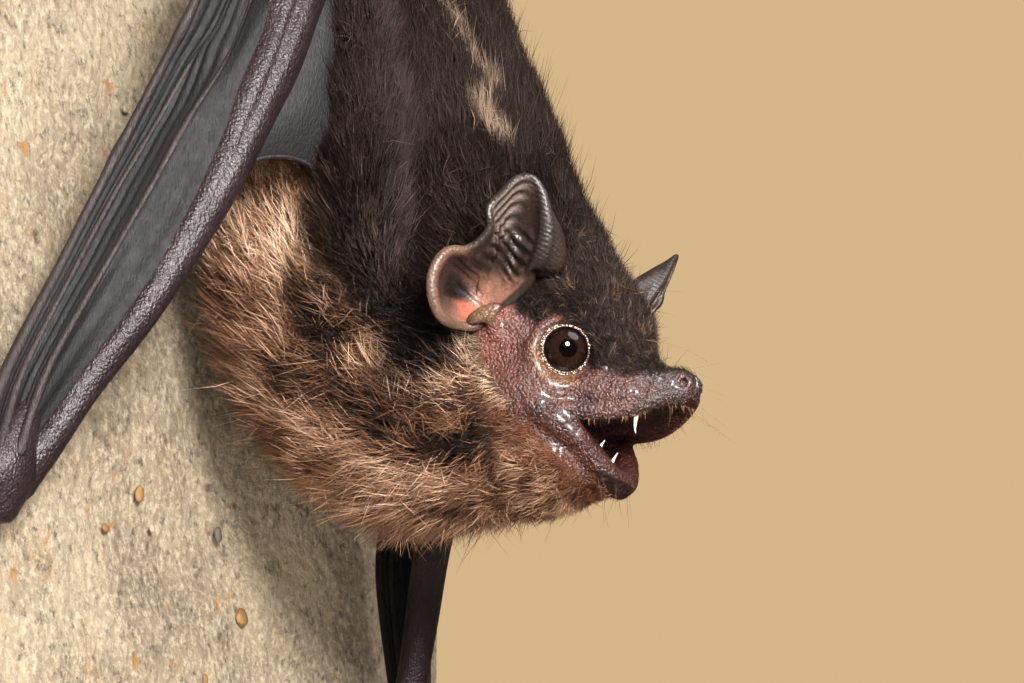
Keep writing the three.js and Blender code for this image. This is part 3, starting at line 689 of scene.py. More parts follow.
def ear_mesh(side):
    """One ear: points, quads, and where each point lies round and up the ear and which face it is on."""
    t = np.arange(EAR_GRID) / EAR_GRID
    row = closed_spline(EAR, t)
    rim, wall = row[:, [2, 0, 1]], row[:, [5, 3, 4]]
    thick, swell = row[:, 6][:, None, None], row[:, 7][:, None, None]
    floor = EAR_FLOOR + 0.01 * (wall - EAR_FLOOR)
    r = np.linspace(0, 1, EAR_DEEP)[None, :, None]
    cup = floor[:, None] * (1 - r) ** 2 + 2 * wall[:, None] * r * (1 - r) + rim[:, None] * r**2
    f, v = cup[..., 1], cup[..., 2]
    rank = np.broadcast_to(r[..., 0], f.shape)
    normal = grid_normals(cup, True)
    facing = np.sign((normal * (EAR_FLOOR + np.array([4.0, 1.0, 0.6]) - cup)).sum(-1).mean())
    normal *= facing
    cup = cup + normal * ear_lift(f, v, rank, t[:, None])[..., None]
    cup[..., 0] -= ear_hollow(f, v, rank)
    bulge = np.exp(-(((r - 0.78) / 0.2) ** 2)) * swell
    back = cup - normal * (thick + bulge)
    back[..., 1] += (bulge * 0.35)[..., 0]
    out = unit(cup[:, -1] - cup[:, -3])
    middle, half = (cup[:, -1] + back[:, -1]) / 2, (cup[:, -1] - back[:, -1]) / 2
    out = out * np.linalg.norm(half, axis=1, keepdims=True)
    turn = np.linspace(0, math.pi, EAR_EDGE + 2)[1:-1]
    bend = [middle + half * math.cos(a) + out * math.sin(a) for a in turn]
    grid = np.concatenate([cup, np.stack(bend, 1), back[:, ::-1]], 1)
    count = grid.shape[1]
    ranks = np.concatenate([rank[0], np.ones(EAR_EDGE), rank[0][::-1]])
    face = np.repeat([0, 0.5, 1], [EAR_DEEP, EAR_EDGE, EAR_DEEP])
    keys = np.stack([np.repeat(t, count), np.tile(ranks, EAR_GRID), np.tile(face, EAR_GRID)], 1)
    flat = grid.reshape(-1, 3)
    flat = (swung(flat) if side > 0 else flat) * [side, 1, 1]
    quads = grid_quads(EAR_GRID, count, True, flip=(side * facing > 0))
    return head_points(flat), quads, keys, flat


# ---------------------------------------------------------------- trunk and limbs

BODY_STEP = 0.46
RUMP_END = 62.2  # where the trunk closes, and only the tail goes on
# Along each bone: x, out, up, radius.
UPPER_ARM = [
    [6.0, 14.2, 13.0, 1.0], [8.6, 15.2, 17.0, 1.4], [10.3, 16.4, 22.0, 1.35],
    [11.1, 16.6, 30.0, 1.15], [11.5, 16.0, 37.0, 1.1], [11.8, 15.5, 41.8, 1.25],
]
THIGH = [[4.4, 9.8, 53.5, 2.3], [8.2, 10.4, 57.5, 1.8], [11.6, 10.0, 62.2, 1.25], [12.3, 9.3, 63.8, 1.15]]
SHIN = [[12.2, 9.0, 63.4, 1.1], [11.9, 7.2, 70.0, 0.9], [10.9, 3.6, 78.4, 0.72], [10.8, 2.6, 80.2, 0.85]]
TAIL = [[0, 9.7, 60.0, 1.3], [0, 9.0, 65.0, 0.85], [0, 9.6, 70.0, 0.68], [0, 10.8, 74.2, 0.58]]
FOREARM_HEIGHT = 43.0
LEFT_WRIST = np.array([-1.9, 0, -7.6])  # how the left wing is set lower and closer in
LEFT_ELBOW = np.array([0.4, 0, -6.0])
LEFT_TUCK = 2.8  # how much nearer the wall


def wing_rows(rows, side, share=1.0):
    """Rows of x, out, up and the rest for one wing. Share is how far they follow the left wing's own set."""
    rows = np.array(rows, float)
    if side < 0:
        return side_rows(rows, side)
    share = np.array(share)
    t = np.clip(rows[:, 2] / FOREARM_HEIGHT, 0, 1)
    tuck = LEFT_TUCK * np.clip((rows[:, 2] - 2) / 12, 0, 1)
    shift = LEFT_WRIST + (LEFT_ELBOW - LEFT_WRIST) * t[:, None]
    rows[:, 0] += share * shift[:, 0]
    rows[:, 1] -= share * tuck
    rows[:, 2] += share * shift[:, 2]
    return rows


def side_rows(rows, side):
    """Rows of x, out, up and the rest, put on one side."""
    rows = np.array(rows, float)
    rows[:, 0] *= side
    return rows


def in_space(rows):
    """Bat-space points from rows that start with x, out, up, and the other way round."""
    return np.stack([rows[:, 0], -rows[:, 1], rows[:, 2]], 1)


def limb_rods(field, rows, blend):
    fine = spline(rows, np.linspace(0, 1, 11))
    join_chain(field, in_space(fine), fine[:, 3], blend, False)


def body_field():
    field = Field((-16, -27.5, 0), (16, -0.2, 82.5), BODY_STEP)
    field.fill(body_loft(False, RUMP_END))
    for _, side in SIDES:
        rising = np.linspace(0, 1, len(UPPER_ARM))
        limb_rods(field, wing_rows(UPPER_ARM, side, rising), 2.6)
        limb_rods(field, side_rows(THIGH, side), 1.2)
        limb_rods(field, side_rows(SHIN, side), 0.5)
    limb_rods(field, TAIL, 0.8)
    return field


def body_mesh():
    points, quads = body_field().surface()
    middle = to_head(points[quads].mean(1))
    return points, quads[middle[:, 1] < NECK_CUT + 0.15]


# ---------------------------------------------------------------- meshes


def joined(parts):
    """One set of points and faces from several. Faces may be arrays of triangles and of quads."""
    points, faces, start = [], [], 0
    for p, f in parts:
        points.append(p)
        faces += [np.asarray(g) + start for g in (f if isinstance(f, list) else [f])]
        start += len(p)
    return np.concatenate(points), faces


def turns(count):
    """Angles evenly round a circle."""
    return np.arange(count) / count * 2 * math.pi


def volume(points, quads):
    """Six times the volume inside quads that face outward."""
    a, b, c, d = (points[quads[:, i]] for i in range(4))
    return (np.cross(a, b) * c).sum() + (np.cross(a, c) * d).sum()


def outward(points, quads):
    """The quads of a closed form, turned to face outward."""
    middle = points - points.mean(0)
    return quads if volume(middle, quads) > 0 else quads[:, ::-1]


CAP = ((0.0, 1.0), (0.72, 0.7), (0.93, 0.35))  # a tube's rounded end, as shares of its width and how far on


def tube(rows, steps, around, shape=None):
    """A closed tube through rows of x, out, up, half-width and half-depth.

    Without a half-depth it is round. Shape scales the tube, given t and angle.
    """
    rows = np.asarray(rows, float)
    t = np.linspace(0, 1, steps)
    fine = spline(rows, t)
    centre = in_space(fine)
    along = unit(np.gradient(centre, axis=0))
    side = unit(np.array([1.0, 0, 0]) - along * along[:, :1])
    deep = np.cross(along, side)
    half, depth = fine[:, 3], fine[:, 4] if rows.shape[1] > 4 else fine[:, 3]
    rings = [(0, size, -on) for size, on in CAP]
    rings += [(i, 1.0, 0.0) for i in range(steps)]
    rings += [(steps - 1, size, on) for size, on in CAP[::-1]]
    index, scale, push = (np.array(column) for column in zip(*rings))
    a = turns(around)
    grow = scale[None] * (shape(t[index][None], a[:, None]) if shape else 1)
    middle = centre[index] + along[index] * (push * np.minimum(half, depth)[index])[:, None]
    grid = (middle[None]
            + side[index][None] * (half[index][None] * grow * np.cos(a)[:, None])[..., None]
            + deep[index][None] * (depth[index][None] * grow * np.sin(a)[:, None])[..., None])
    points = grid.reshape(-1, 3)
    return points, outward(points, grid_quads(around, len(rings), True))


def shell(grid, thick):
    """A thin closed sheet from a grid of points."""
    normal = grid_normals(grid, False)
    n, m = grid.shape[:2]
    half = normal * thick / 2
    points = np.concatenate([(grid + half).reshape(-1, 3), (grid - half).reshape(-1, 3)])
    face = grid_quads(n, m, False)
    index = np.arange(n * m).reshape(n, m)
    rim = np.concatenate([index[:, 0], index[-1, 1:], index[-2::-1, -1], index[0, -2:0:-1]])
    after = np.roll(rim, -1)
    other = n * m
    edge = np.stack([after, rim, rim + other, after + other], 1)
    quads = np.concatenate([face, face[:, ::-1] + other, edge])
    return points, quads[:, ::-1] if volume(points, quads) < 0 else quads


def rgb(r, g, b):
    """A linear colour from screen values of 0 to 255."""
    c = np.array([r, g, b], float) / 255
    return np.where(c <= 0.04045, c / 12.92, ((c + 0.055) / 1.055) ** 2.4)


def mix(a, b, t):
    t = np.asarray(t, float)
    return a * (1 - t[..., None]) + b * t[..., None]


def make(name, points, faces, materials, nodes=(), tint=None, uv=None, which=None):
    """A piece from points in mm in the bat's space and faces as arrays of triangles or quads."""
    faces = [np.asarray(f) for f in (faces if isinstance(faces, list) else [faces]) if len(f)]
    corners = np.concatenate([f.ravel() for f in faces]).astype(np.int32)
    sizes = np.concatenate([np.full(len(f), f.shape[1], np.int32) for f in faces])
    mesh = bpy.data.meshes.new(name)
    mesh.vertices.add(len(points))
    world = points * MM + np.array(ORIGIN)
    mesh.vertices.foreach_set("co", world.astype(np.float32).ravel())
    mesh.loops.add(len(corners))
    mesh.loops.foreach_set("vertex_index", corners)
    mesh.polygons.add(len(sizes))
    starts = np.concatenate([[0], np.cumsum(sizes)[:-1]]).astype(np.int32)
    mesh.polygons.foreach_set("loop_start", starts)
    mesh.polygons.foreach_set("use_smooth", np.ones(len(sizes), bool))
    if which is not None:
        mesh.polygons.foreach_set("material_index", which.astype(np.int32))
    if tint is not None:
        rgba = np.ones((len(points), 4), np.float32)
        rgba[:, :tint.shape[1]] = tint
        mesh.attributes.new("tint", "FLOAT_COLOR", "POINT").data.foreach_set("color", rgba.ravel())
    if uv is not None:
        mesh.uv_layers.new(name="OFBake").data.foreach_set("uv", uv[corners].astype(np.float32).ravel())
    for m in materials:
        mesh.materials.append(m)
    mesh.update(calc_edges=True)
    piece = bpy.data.objects.new(name, mesh)
    bpy.context.scene.collection.objects.link(piece)
    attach(piece, "root")
    if nodes:
        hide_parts(*nodes)
    return piece


def pairs(*names):
    """Each name with each side's after it."""
    return [f"{n}_{side}" for n in names for side, _ in SIDES]


def vertex_normals(points, quads):
    a, b, c, d = (points[quads[:, i]] for i in range(4))
    face = np.cross(c - a, d - b)
    total = np.zeros_like(points)
    for i in range(4):
        for k in range(3):
            total[:, k] += np.bincount(quads[:, i], face[:, k], len(points))
    return unit(total)


# ---------------------------------------------------------------- the coat's markings

# The cape's lower edge: row, and height from belly (-1) to back (1).
CAPE_EDGE = ([0, 6.3, 6.75, 7.0, 7.4, 7.7, 8.0, 8.3, 8.7, 9.4],
             [0.0, 0.0, -0.1, -0.17, -0.22, -0.34, -0.37, -0.3, -0.22, -0.35])
# The bare face's edges: v of its top and bottom at each f, and f of its rear at each v.
FACE_TOP = ([-5.8, -4.6, -3.1, -2.0, -0.8, 1.0, 1.65, 2.6, 3.4, 4.4, 5.0, 5.5],
            [1.7, 2.2, 1.5, 1.2, 1.6, 0.55, -0.15, -0.65, -0.4, 0.0, 0.2, 0.6])
FACE_BACK = ([-4.1, -3.6, -3.1, -1.7, -0.5, 0.6, 2.3], [-2.6, -2.3, -3.3, -4.5, -5.1, -5.6, -5.6])
FACE_LOW = ([-3.0, -1.0, 0.8, 2.3, 3.6], [-4.0, -5.0, -6.3, -7.1, -7.6])

HEAD_ROW = 8.4  # the row where the head's markings begin

DARK_ROOT, DARK_TIP = rgb(10, 7, 6), rgb(23, 14, 11)
# The cape's painted light: a glint colour for rare pale hair tips, and a sheen colour for its upper back.
DARK_GLINT, DARK_SHEEN = rgb(100, 80, 70), rgb(66, 52, 46)
BUFF_ROOT, BUFF_TIP = rgb(15, 10, 9), rgb(144, 102, 76)
BUFF_LIGHT, BUFF_DARK = rgb(236, 200, 170), rgb(26, 18, 15)
RUST_ROOT, RUST_TIP = rgb(46, 22, 16), rgb(116, 68, 44)
# The brow's third colour is a painted glint on rare hairs.
BROW_ROOT, BROW_TIP, BROW_GLINT = rgb(18, 13, 12), rgb(25, 17, 14), rgb(140, 114, 96)
PALE = rgb(186, 158, 134)
# The pale lines down the back: row, and mm to either side of the middle.
DORSAL = ([1.2, 1.9, 2.6, 3.3, 4.2, 5.0, 5.12, 5.5, 5.9, 6.3],
          [4.4, 5.4, 4.3, 5.4, 5.3, 4.4, 3.9, 5.8, 5.3, 4.4])
# Lighter (+) and darker (-) patches of the flank, partly its own mottling and partly painted light on lit
# locks and painted shade between them: row, height, half-sizes, strength.
PATCHES = [
    (6.35, -0.25, 0.5, 0.2, 1.0), (6.98, -0.30, 0.27, 0.09, -1.9), (7.25, -0.26, 0.18, 0.07, -1.4),
    (7.4, -0.46, 0.24, 0.06, -1.6), (7.18, -0.67, 0.24, 0.07, -1.6), (7.65, -0.62, 0.28, 0.07, -1.4),
    (7.85, -0.42, 0.30, 0.10, -1.0), (8.4, -0.34, 0.26, 0.06, 1.4), (8.5, -0.46, 0.18, 0.06, -1.6),
    (8.6, -0.62, 0.5, 0.14, -0.9), (9.0, -0.85, 0.6, 0.3, -0.6),
]


def face_gap(h):
    """How far a head point of x, f, v lies inside the bare part of the face, in mm."""
    top = np.interp(h[:, 1], *FACE_TOP) - h[:, 2]
    low = h[:, 2] - np.interp(h[:, 1], *FACE_LOW)
    back = h[:, 1] - np.interp(h[:, 2], *FACE_BACK)
    return np.minimum(np.minimum(top, low), back)


def mound(x, y, middle, size):
    """1 at a middle, falling away over a size in x and y."""
    return np.exp(-(((x - middle[0]) / size[0]) ** 2) - (((y - middle[1]) / size[1]) ** 2))


def places(points):
    """Row number along the body, height from belly (-1) to back (1), and the head-frame point."""
    t, w, _, _ = stations.section(-points[:, 1], points[:, 2])
    return t / STATION_STEPS, w, to_head(points)


def under(points, t, w):
    """1 on the buff underside and 0 on the dark cape."""
    edge = np.interp(t, *CAPE_EDGE)
    return smooth(0.09, -0.09, w - edge + 0.10 * noise(points, 2.6, 3) + 0.06 * noise(points, 0.9, 4))


def dorsal(points, t, w):
    """1 on the two pale wavy lines down the back."""
    line = np.interp(t, *DORSAL)
    near = np.abs(np.abs(points[:, 0]) - line) - 0.25 * smooth(5.15, 5.4, t)
    wavy = smooth(0.55, 0.1, near + 0.3 * noise(points, 1.2, 9))
    return wavy * (w > 0.3) * smooth(1.0, 1.6, t) * smooth(6.4, 6.15, t)


def shade(points, t, w):
    """How light the underside's coat is, above or below 0, in streaks that follow the lie of the coat."""
    along = np.stack([points[:, 0], w * 9, t * 3.2], 1)
    total = 0.75 * noise(along, 1.7, 6) + 0.45 * noise(along, 0.75, 7)
    # the patches add painted light on lit locks and painted shade between them to the coat's own streaks
    for row, high, long, tall, strength in PATCHES:
        total = total + strength * mound(t, w, (row, high), (long, tall))
    return total


def coat_colours(points, wild):
    """Root and tip colours of the coat at points. Wild is a random number from 0 to 1 for each."""
    t, w, h = places(points)
    below = under(points, t, w)
    gap = face_gap(h)
    # painted glints: a few hairs get pale tips where light would catch them
    dark = mix(DARK_TIP, DARK_GLINT, np.clip(1.1 * wild**7 + 0.1 * noise(points, 1.5, 5), 0, 1))
    # painted sheen: the tips over the upper back are lighter, as if glossed by light from above
    sheen = smooth(6.5, 5.4, t) * smooth(-0.3, 0.4, w)
    dark = mix(dark, DARK_SHEEN, sheen * (0.2 + 0.6 * wild))
    tone = shade(points, t, w) + 2.1 * (wild - 0.5)
    buff = mix(mix(BUFF_TIP, BUFF_LIGHT, smooth(0.1, 1.1, tone)), BUFF_DARK, smooth(-0.1, -0.95, tone))
    tip, root = mix(dark, buff, below), mix(DARK_ROOT, BUFF_ROOT, below)
    # rust below and behind the mouth
    rust = smooth(-3.2, -0.4, gap) * smooth(-3.2, -4.6, h[:, 2]) * smooth(-6.0, -2.5, h[:, 1])
    tip, root = mix(tip, mix(RUST_TIP, BUFF_TIP, 0.5 * wild), 0.8 * rust), mix(root, RUST_ROOT, 0.8 * rust)
    # the buff tuft on the cheek and the dark hair of the brow and muzzle
    back = h[:, 1] - np.interp(h[:, 2], *FACE_BACK)
    cheek = smooth(-2.4, -1.2, back) * smooth(0.8, 0.0, back)
    cheek = cheek * smooth(-4.6, -3.4, h[:, 2]) * smooth(1.2, 0.0, h[:, 2])
    tip = mix(tip, mix(BUFF_TIP, BUFF_LIGHT, 0.3 + 0.7 * wild), 0.95 * cheek)
    brow = smooth(-3.5, -1.5, h[:, 1]) * smooth(-0.8, 0.6, h[:, 2])
    # rare brow hairs get pale tips as painted glints
    tip, root = mix(tip, mix(BROW_TIP, BROW_GLINT, wild**6), brow), mix(root, BROW_ROOT, brow)
    pale = dorsal(points, t, w)
    tip = mix(tip, PALE, pale * (0.35 + 0.65 * wild))
    return root, tip, below, pale


def brow_and_cheek(f, v, gap, blotch):
    """Colours of the bare skin above the mouth: mauve to rose towards the ear, and grey on the muzzle."""
    mauve, rose, grey, dusk = rgb(82, 51, 43), rgb(116, 70, 57), rgb(82, 55, 50), rgb(32, 22, 23)
    round_eye, edge, ridge, pink = rgb(88, 54, 44), rgb(34, 26, 25), rgb(30, 22, 21), rgb(158, 82, 68)
    bare = mix(mauve, rose, np.clip(smooth(-2.0, -5.0, f) * 0.7 + 0.3 * blotch, 0, 1))
    bare = mix(bare, grey, smooth(-0.5, 2.4, f) * (0.5 + 0.4 * blotch))
    bare = mix(bare, dusk, smooth(0.55, 0.8, blotch) * smooth(-1.2, -2.4, v) * 0.6)
    near_eye = np.sqrt((f - EYE[1]) ** 2 + (v - EYE[2]) ** 2)
    bare = mix(bare, round_eye, smooth(3.0, 1.9, near_eye) * 0.6)
    bare = mix(bare, edge, smooth(0.8, 0.1, gap) * smooth(-0.8, 0.2, v) * smooth(-0.5, 1.2, f))
    bare = mix(bare, ridge, 0.9 * smooth(-0.9, 0.1, v) * smooth(1.2, 2.2, f) * smooth(5.9, 5.2, f))
    return mix(bare, pink, 0.85 * mound(f, v, (-5.2, 1.6), (0.9, 0.9)))


def jaw_and_lip(bare, f, v, chin, blotch):
    """The bare skin's colours with the rust jaw, the lower lip's roll and the dark wart on the chin."""
    rust, brown, wart = rgb(78, 36, 25), rgb(50, 25, 19), rgb(26, 13, 14)
    jaw = smooth(0.4, -0.6, v - np.interp(f, [-1.2, 1, 2, 2.8, 3.5], [-3.9, -4.6, -5.2, -6.0, -6.7]))
    bare = mix(bare, mix(rust, brown, blotch), jaw * smooth(-4.5, -3.0, f) * 0.9)
    line = np.interp(f, [-1.2, -0.1, 0.95, 1.95, 2.75, 3.2], [-3.7, -4.05, -4.5, -5.05, -5.8, -6.4])
    roll = mix(rgb(62, 36, 32), rgb(66, 32, 24), smooth(0.0, 2.2, f))
    bare = mix(bare, roll, smooth(0.75, 0.3, np.abs(v - line)) * smooth(-1.8, -0.8, f) * (v < -3.5))
    return mix(bare, wart, np.clip(chin * 2.2, 0, 1))


def low_lid(place):
    """1 on the tan lid below and behind the eye, at x, f, v with x taken as positive."""
    offset = place - EYE
    p, q = offset @ RING_BACK, offset @ RING_UP
    angle, reach = np.arctan2(q, p), np.hypot(p, q)
    return smooth(0.3, 0.65, np.cos(angle + LOW_ANGLE)) * smooth(2.3, 2.1, reach) * (offset @ GAZE > -0.2)


def skin_tint(points):
    """The skin's colour (its own, with painted shade inside the mouth), which the coat hides on the body,
    where the mouth is, and how smooth it is.
    """
    t, _, h = places(points)
    root, tip, below, _ = coat_colours(points, np.full(len(points), 0.35))
    fur = mix(root, tip, 0.06 + 0.05 * below)
    x, f, v = np.abs(h[:, 0]), h[:, 1], h[:, 2]
    place = np.column_stack([x, f, v])
    gap = face_gap(h)
    blotch = 0.5 + 0.5 * noise(points, 1.1, 11)
    chin = mound(f, v, (3.25, -6.8), (0.7, 0.55))
    bare = jaw_and_lip(brow_and_cheek(f, v, gap, blotch), f, v, chin, blotch)
    low = low_lid(place)
    bare = mix(bare, rgb(98, 64, 33), low)
    nose = smooth(0.75, 0.4, np.sqrt((x - 1.0) ** 2 + (f - 6.0) ** 2 + (v + 0.25) ** 2))
    bare = mix(bare, rgb(40, 27, 24), smooth(4.2, 5.4, f) * 0.8)
    bare = mix(bare, rgb(84, 60, 54), nose)
    tragus = smooth(1.05, 0.85, np.linalg.norm((place - TRAGUS) / [0.75, 1.5, 0.75], axis=1))
    bare = mix(bare, rgb(104, 80, 58), tragus * smooth(5.9, 6.15, x))
    inside = inner_mouth(h)
    # painted shade: the flesh inside the mouth is darkened well below its own red, as its hollow lies in
    # shade
    flesh = mix(rgb(24, 8, 7), rgb(54, 19, 16), blotch)
    flesh = mix(flesh, rgb(52, 30, 25), smooth(-4.9, -5.6, v) * smooth(1.2, 2.2, f))
    bare = mix(bare, flesh, inside)
    calm = np.maximum(0.3 * low, np.clip(chin * 1.5, 0, 1))
    calm = np.maximum(calm, 0.6 * tragus)
    face = smooth(-0.5, 0.3, gap + 0.25 * noise(points, 0.6, 12)) * (t > HEAD_ROW)
    return mix(fur, bare, face), inside, calm


def inner_mouth(h):
    """1 inside the open mouth, behind the lips."""
    x, f, v = np.abs(h[:, 0]), h[:, 1], h[:, 2]
    top = np.interp(f, [-1.5, 1.2, 2.5, 3.6, 4.6, 5.4, 6.0], [4.45, 3.87, 3.42, 2.93, 2.38, 1.72, 0.82])
    high = np.interp(f, [-1.3, 1.2, 2.5, 3.6, 4.6, 5.4, 6.2], [-3.3, -3.1, -2.85, -2.4, -1.8, -1.2, -0.8])
    low = np.interp(f, [-1.3, 1.0, 2.0, 2.8, 3.4], [-4.2, -4.7, -5.3, -6.0, -6.4])
    lift = np.interp(f, [3.6, 4.8, 5.4], [1.6, 0.5, -0.15])
    roof = smooth(0.0, 0.25, top - x) * (v > low - 1.2) * (v < high + lift) * (f > -2.2)
    floor = smooth(0.0, 0.2, np.interp(f, [0, 1.8, 2.5, 2.85], [3.5, 2.5, 1.3, -0.5]) - x)
    return roof * np.where(v < low - 0.1, floor, 1)


# ---------------------------------------------------------------- materials


def opaque(colour):
    """A colour with its alpha, or a socket as it is."""
    return colour if isinstance(colour, bpy.types.NodeSocket) else (*colour, 1)


class Nodes:
    """A node material made a few nodes at a time. Sizes and depths are in mm."""

    def __init__(self, name):
        self.material = bpy.data.materials.new(name)
        self.material.use_nodes = True
        self.tree = self.material.node_tree
        self.shader = self.tree.nodes["Principled BSDF"]
        self.object = self.add("ShaderNodeTexCoord").outputs["Object"]

    def put(self, value, socket):
        """Gives an input a value, or links an output to it."""
        if isinstance(value, bpy.types.NodeSocket):
            self.tree.links.new(value, socket)
        else:
            socket.default_value = value

    def add(self, kind, **values):
        node = self.tree.nodes.new(kind)
        for key, value in values.items():
            if key in node.inputs:
                self.put(value, node.inputs[key])
            else:
                setattr(node, key, value)
        return node

    def tint(self, output="Color"):
        return self.add("ShaderNodeAttribute", attribute_name="tint").outputs[output]

    def stretched(self, x, y, z):
        """Object coordinates scaled in each direction."""
        return self.add("ShaderNodeMapping", Vector=self.object, Scale=(x, y, z)).outputs["Vector"]

    def warped(self, size, amount):
        """Object coordinates pushed about by noise of a size, by an amount."""
        push = self.add("ShaderNodeTexNoise", Vector=self.object, Scale=1000 / size, Detail=2.0)
        warp = self.add("ShaderNodeVectorMath", operation="MULTIPLY_ADD")
        for value, socket in zip((push.outputs["Color"], (amount * MM,) * 3, self.object), warp.inputs):
            self.put(value, socket)
        return warp.outputs[0]

    def noise(self, size, detail=3.0, rough=0.6, vector=None):
        """Noise with lumps about size across."""
        return self.add("ShaderNodeTexNoise", Vector=vector or self.object, Scale=1000 / size, Detail=detail,
                        Roughness=rough).outputs["Fac"]

    def cells(self, size, vector, smoothness=None):
        """Pebbles about size across, which are sharp-edged when they have no smoothness."""
        feature = "F1" if smoothness is None else "SMOOTH_F1"
        node = self.add("ShaderNodeTexVoronoi", feature=feature, Vector=vector, Scale=1000 / size)
        if smoothness is not None:
            node.inputs["Smoothness"].default_value = smoothness
        return node.outputs["Distance"]

    def waves(self, place, way, step):
        """A wave between -1 and 1 that repeats every step along a way."""
        along = self.add("ShaderNodeVectorMath", operation="DOT_PRODUCT")
        self.put(place, along.inputs[0])
        self.put(way, along.inputs[1])
        return self.maths("SINE", self.maths("MULTIPLY", along.outputs["Value"], 2 * math.pi / (step * MM)))

    def maths(self, operation, a, b=0.0):
        node = self.add("ShaderNodeMath", operation=operation)
        self.put(a, node.inputs[0])
        self.put(b, node.inputs[1])
        return node.outputs[0]

    def span(self, value, low, high, to_low=0.0, to_high=1.0):
        """A value moved from between low and high to between to_low and to_high, and kept there."""
        node = self.add("ShaderNodeMapRange", Value=value)
        for key, v in zip(("From Min", "From Max", "To Min", "To Max"), (low, high, to_low, to_high)):
            node.inputs[key].default_value = v
        return node.outputs["Result"]

    def blend(self, share, a, b, kind="MIX"):
        """Colour a with up to a share of b over it."""
        node = self.add("ShaderNodeMix", data_type="RGBA", blend_type=kind)
        self.put(share, node.inputs[0])
        self.put(opaque(a), node.inputs[6])
        self.put(opaque(b), node.inputs[7])
        return node.outputs[2]

    def mottled(self, colour, tone, size, low, high, share=1.0, detail=3.0, rough=0.6, kind="MIX"):
        """A colour with up to a share of a tone over it, where noise of a size rises from low to high."""
        return self.blend(self.span(self.noise(size, detail, rough), low, high, 0, share), colour, tone, kind)

    def darkened(self, *values):
        return self.mottled(*values, kind="MULTIPLY")

    def bump(self, height, depth, strength=1.0, normal=None):
        """A bump whose height of 0 to 1 is depth mm, on top of another."""
        node = self.add("ShaderNodeBump", Height=height, Distance=depth * MM, Strength=strength)
        if normal is not None:
            self.put(normal, node.inputs["Normal"])
        return node.outputs["Normal"]

    def finish(self, color, roughness, normal=None, **values):
        """The material, with values for the shader's other inputs."""
        self.put(opaque(color), self.shader.inputs["Base Color"])
        self.put(roughness, self.shader.inputs["Roughness"])
        if normal is not None:
            self.put(normal, self.shader.inputs["Normal"])
        for key, value in values.items():
            self.put(value, self.shader.inputs[key.replace("_", " ")])
        return self.material


def flesh(weight, radius):
    """The shader's values for light that goes a little way into flesh. Radius is for red, green and blue."""
    return dict(Subsurface_Weight=weight, Subsurface_Radius=radius, Subsurface_Scale=1.0)


def coat_skin_material():
    n = Nodes("coat_skin")
    colour = n.blend(0.35, n.tint(), n.mottled(n.tint(), (0.004, 0.003, 0.003), 0.6, 0.3, 0.7))
    return n.finish(colour, 0.9, n.bump(n.noise(0.4), 0.3), Specular_IOR_Level=0.15)


def face_material():
    n = Nodes("face_skin")
    bumpy = n.tint("Alpha")
    place = n.warped(0.7, 0.22)
    pebble = n.cells(0.17, place, 0.35)
    grain = n.cells(0.09, place)
    # painted shade: the skin darkens in the creases between its pebbles
    colour = n.blend(n.span(pebble, 0.2, 0.6, 0, 0.8), n.tint(), (0.42, 0.33, 0.34), "MULTIPLY")
    colour = n.darkened(colour, (0.45, 0.36, 0.38), 0.9, 0.42, 0.66, 0.6, 4)
    colour = n.mottled(colour, rgb(120, 80, 74), 0.35, 0.58, 0.78, 0.35, 4)
    rough = n.span(n.noise(0.5, 3), 0.35, 0.7, 0.24, 0.44)
    fold = n.noise(0.5, 5, 0.75, n.stretched(1, 0.7, 1.8))
    normal = n.bump(n.maths("MULTIPLY", fold, bumpy), 0.2, 0.8)
    normal = n.bump(n.maths("MULTIPLY", pebble, bumpy), -0.14, 1.0, normal)
    normal = n.bump(n.maths("MULTIPLY", grain, bumpy), -0.04, 0.8, normal)
    return n.finish(colour, rough, normal, Specular_IOR_Level=0.65, Coat_Weight=0.28, Coat_Roughness=0.2,
                    **flesh(0.05, (0.0005, 0.0002, 0.0001)))


def mouth_material():
    n = Nodes("mouth_skin")
    colour = n.darkened(n.tint(), (0.5, 0.3, 0.3), 0.5, 0.4, 0.7, 0.6)
    normal = n.bump(n.noise(0.35, 3), 0.08, 0.7)
    normal = n.bump(n.cells(0.17, n.warped(0.7, 0.2), 0.4), -0.13, 0.95, normal)
    return n.finish(colour, 0.45, normal, Specular_IOR_Level=0.3, Coat_Weight=0.1, Coat_Roughness=0.2,
                    **flesh(0.1, (0.0008, 0.0003, 0.0002)))


RIM_RIB = 0.26  # from rib to rib across the rim of the ear, in mm


def ear_material():
    n = Nodes("ear_skin")
    pebble = n.cells(0.17, n.warped(0.5, 0.15), 0.4)
    colour = n.darkened(n.tint(), (0.5, 0.42, 0.40), 0.7, 0.4, 0.7, 0.5, 4)
    # painted shade: the skin darkens in the creases between its pebbles
    colour = n.blend(n.span(pebble, 0.3, 0.6, 0, 0.45), colour, (0.5, 0.42, 0.4), "MULTIPLY")
    normal = n.bump(n.noise(0.3, 3), 0.05, 0.6)
    normal = n.bump(pebble, -0.045, 0.7, normal)
    # fine ribs across the rim, where the tint's alpha is 1
    rim = n.tint("Alpha")
    ribs = n.waves(n.warped(1.5, 0.25), 0.3 * FORWARD + 0.95 * CROWN, RIM_RIB)
    # painted shade: the rim is darker in the grooves between the ribs
    groove = n.maths("MULTIPLY", n.span(ribs, 0.3, -0.7, 0, 0.4), rim)
    colour = n.blend(groove, colour, (0.5, 0.44, 0.42), "MULTIPLY")
    normal = n.bump(n.maths("MULTIPLY", ribs, rim), 0.012, 0.8, normal)
    rough = n.maths("ADD", n.span(n.noise(0.5), 0.3, 0.7, 0.36, 0.5), n.maths("MULTIPLY", rim, 0.12))
    return n.finish(colour, rough, normal, Specular_IOR_Level=0.5, Coat_Weight=0.1, Coat_Roughness=0.25,
                    **flesh(0.05, (0.0006, 0.0003, 0.0002)))


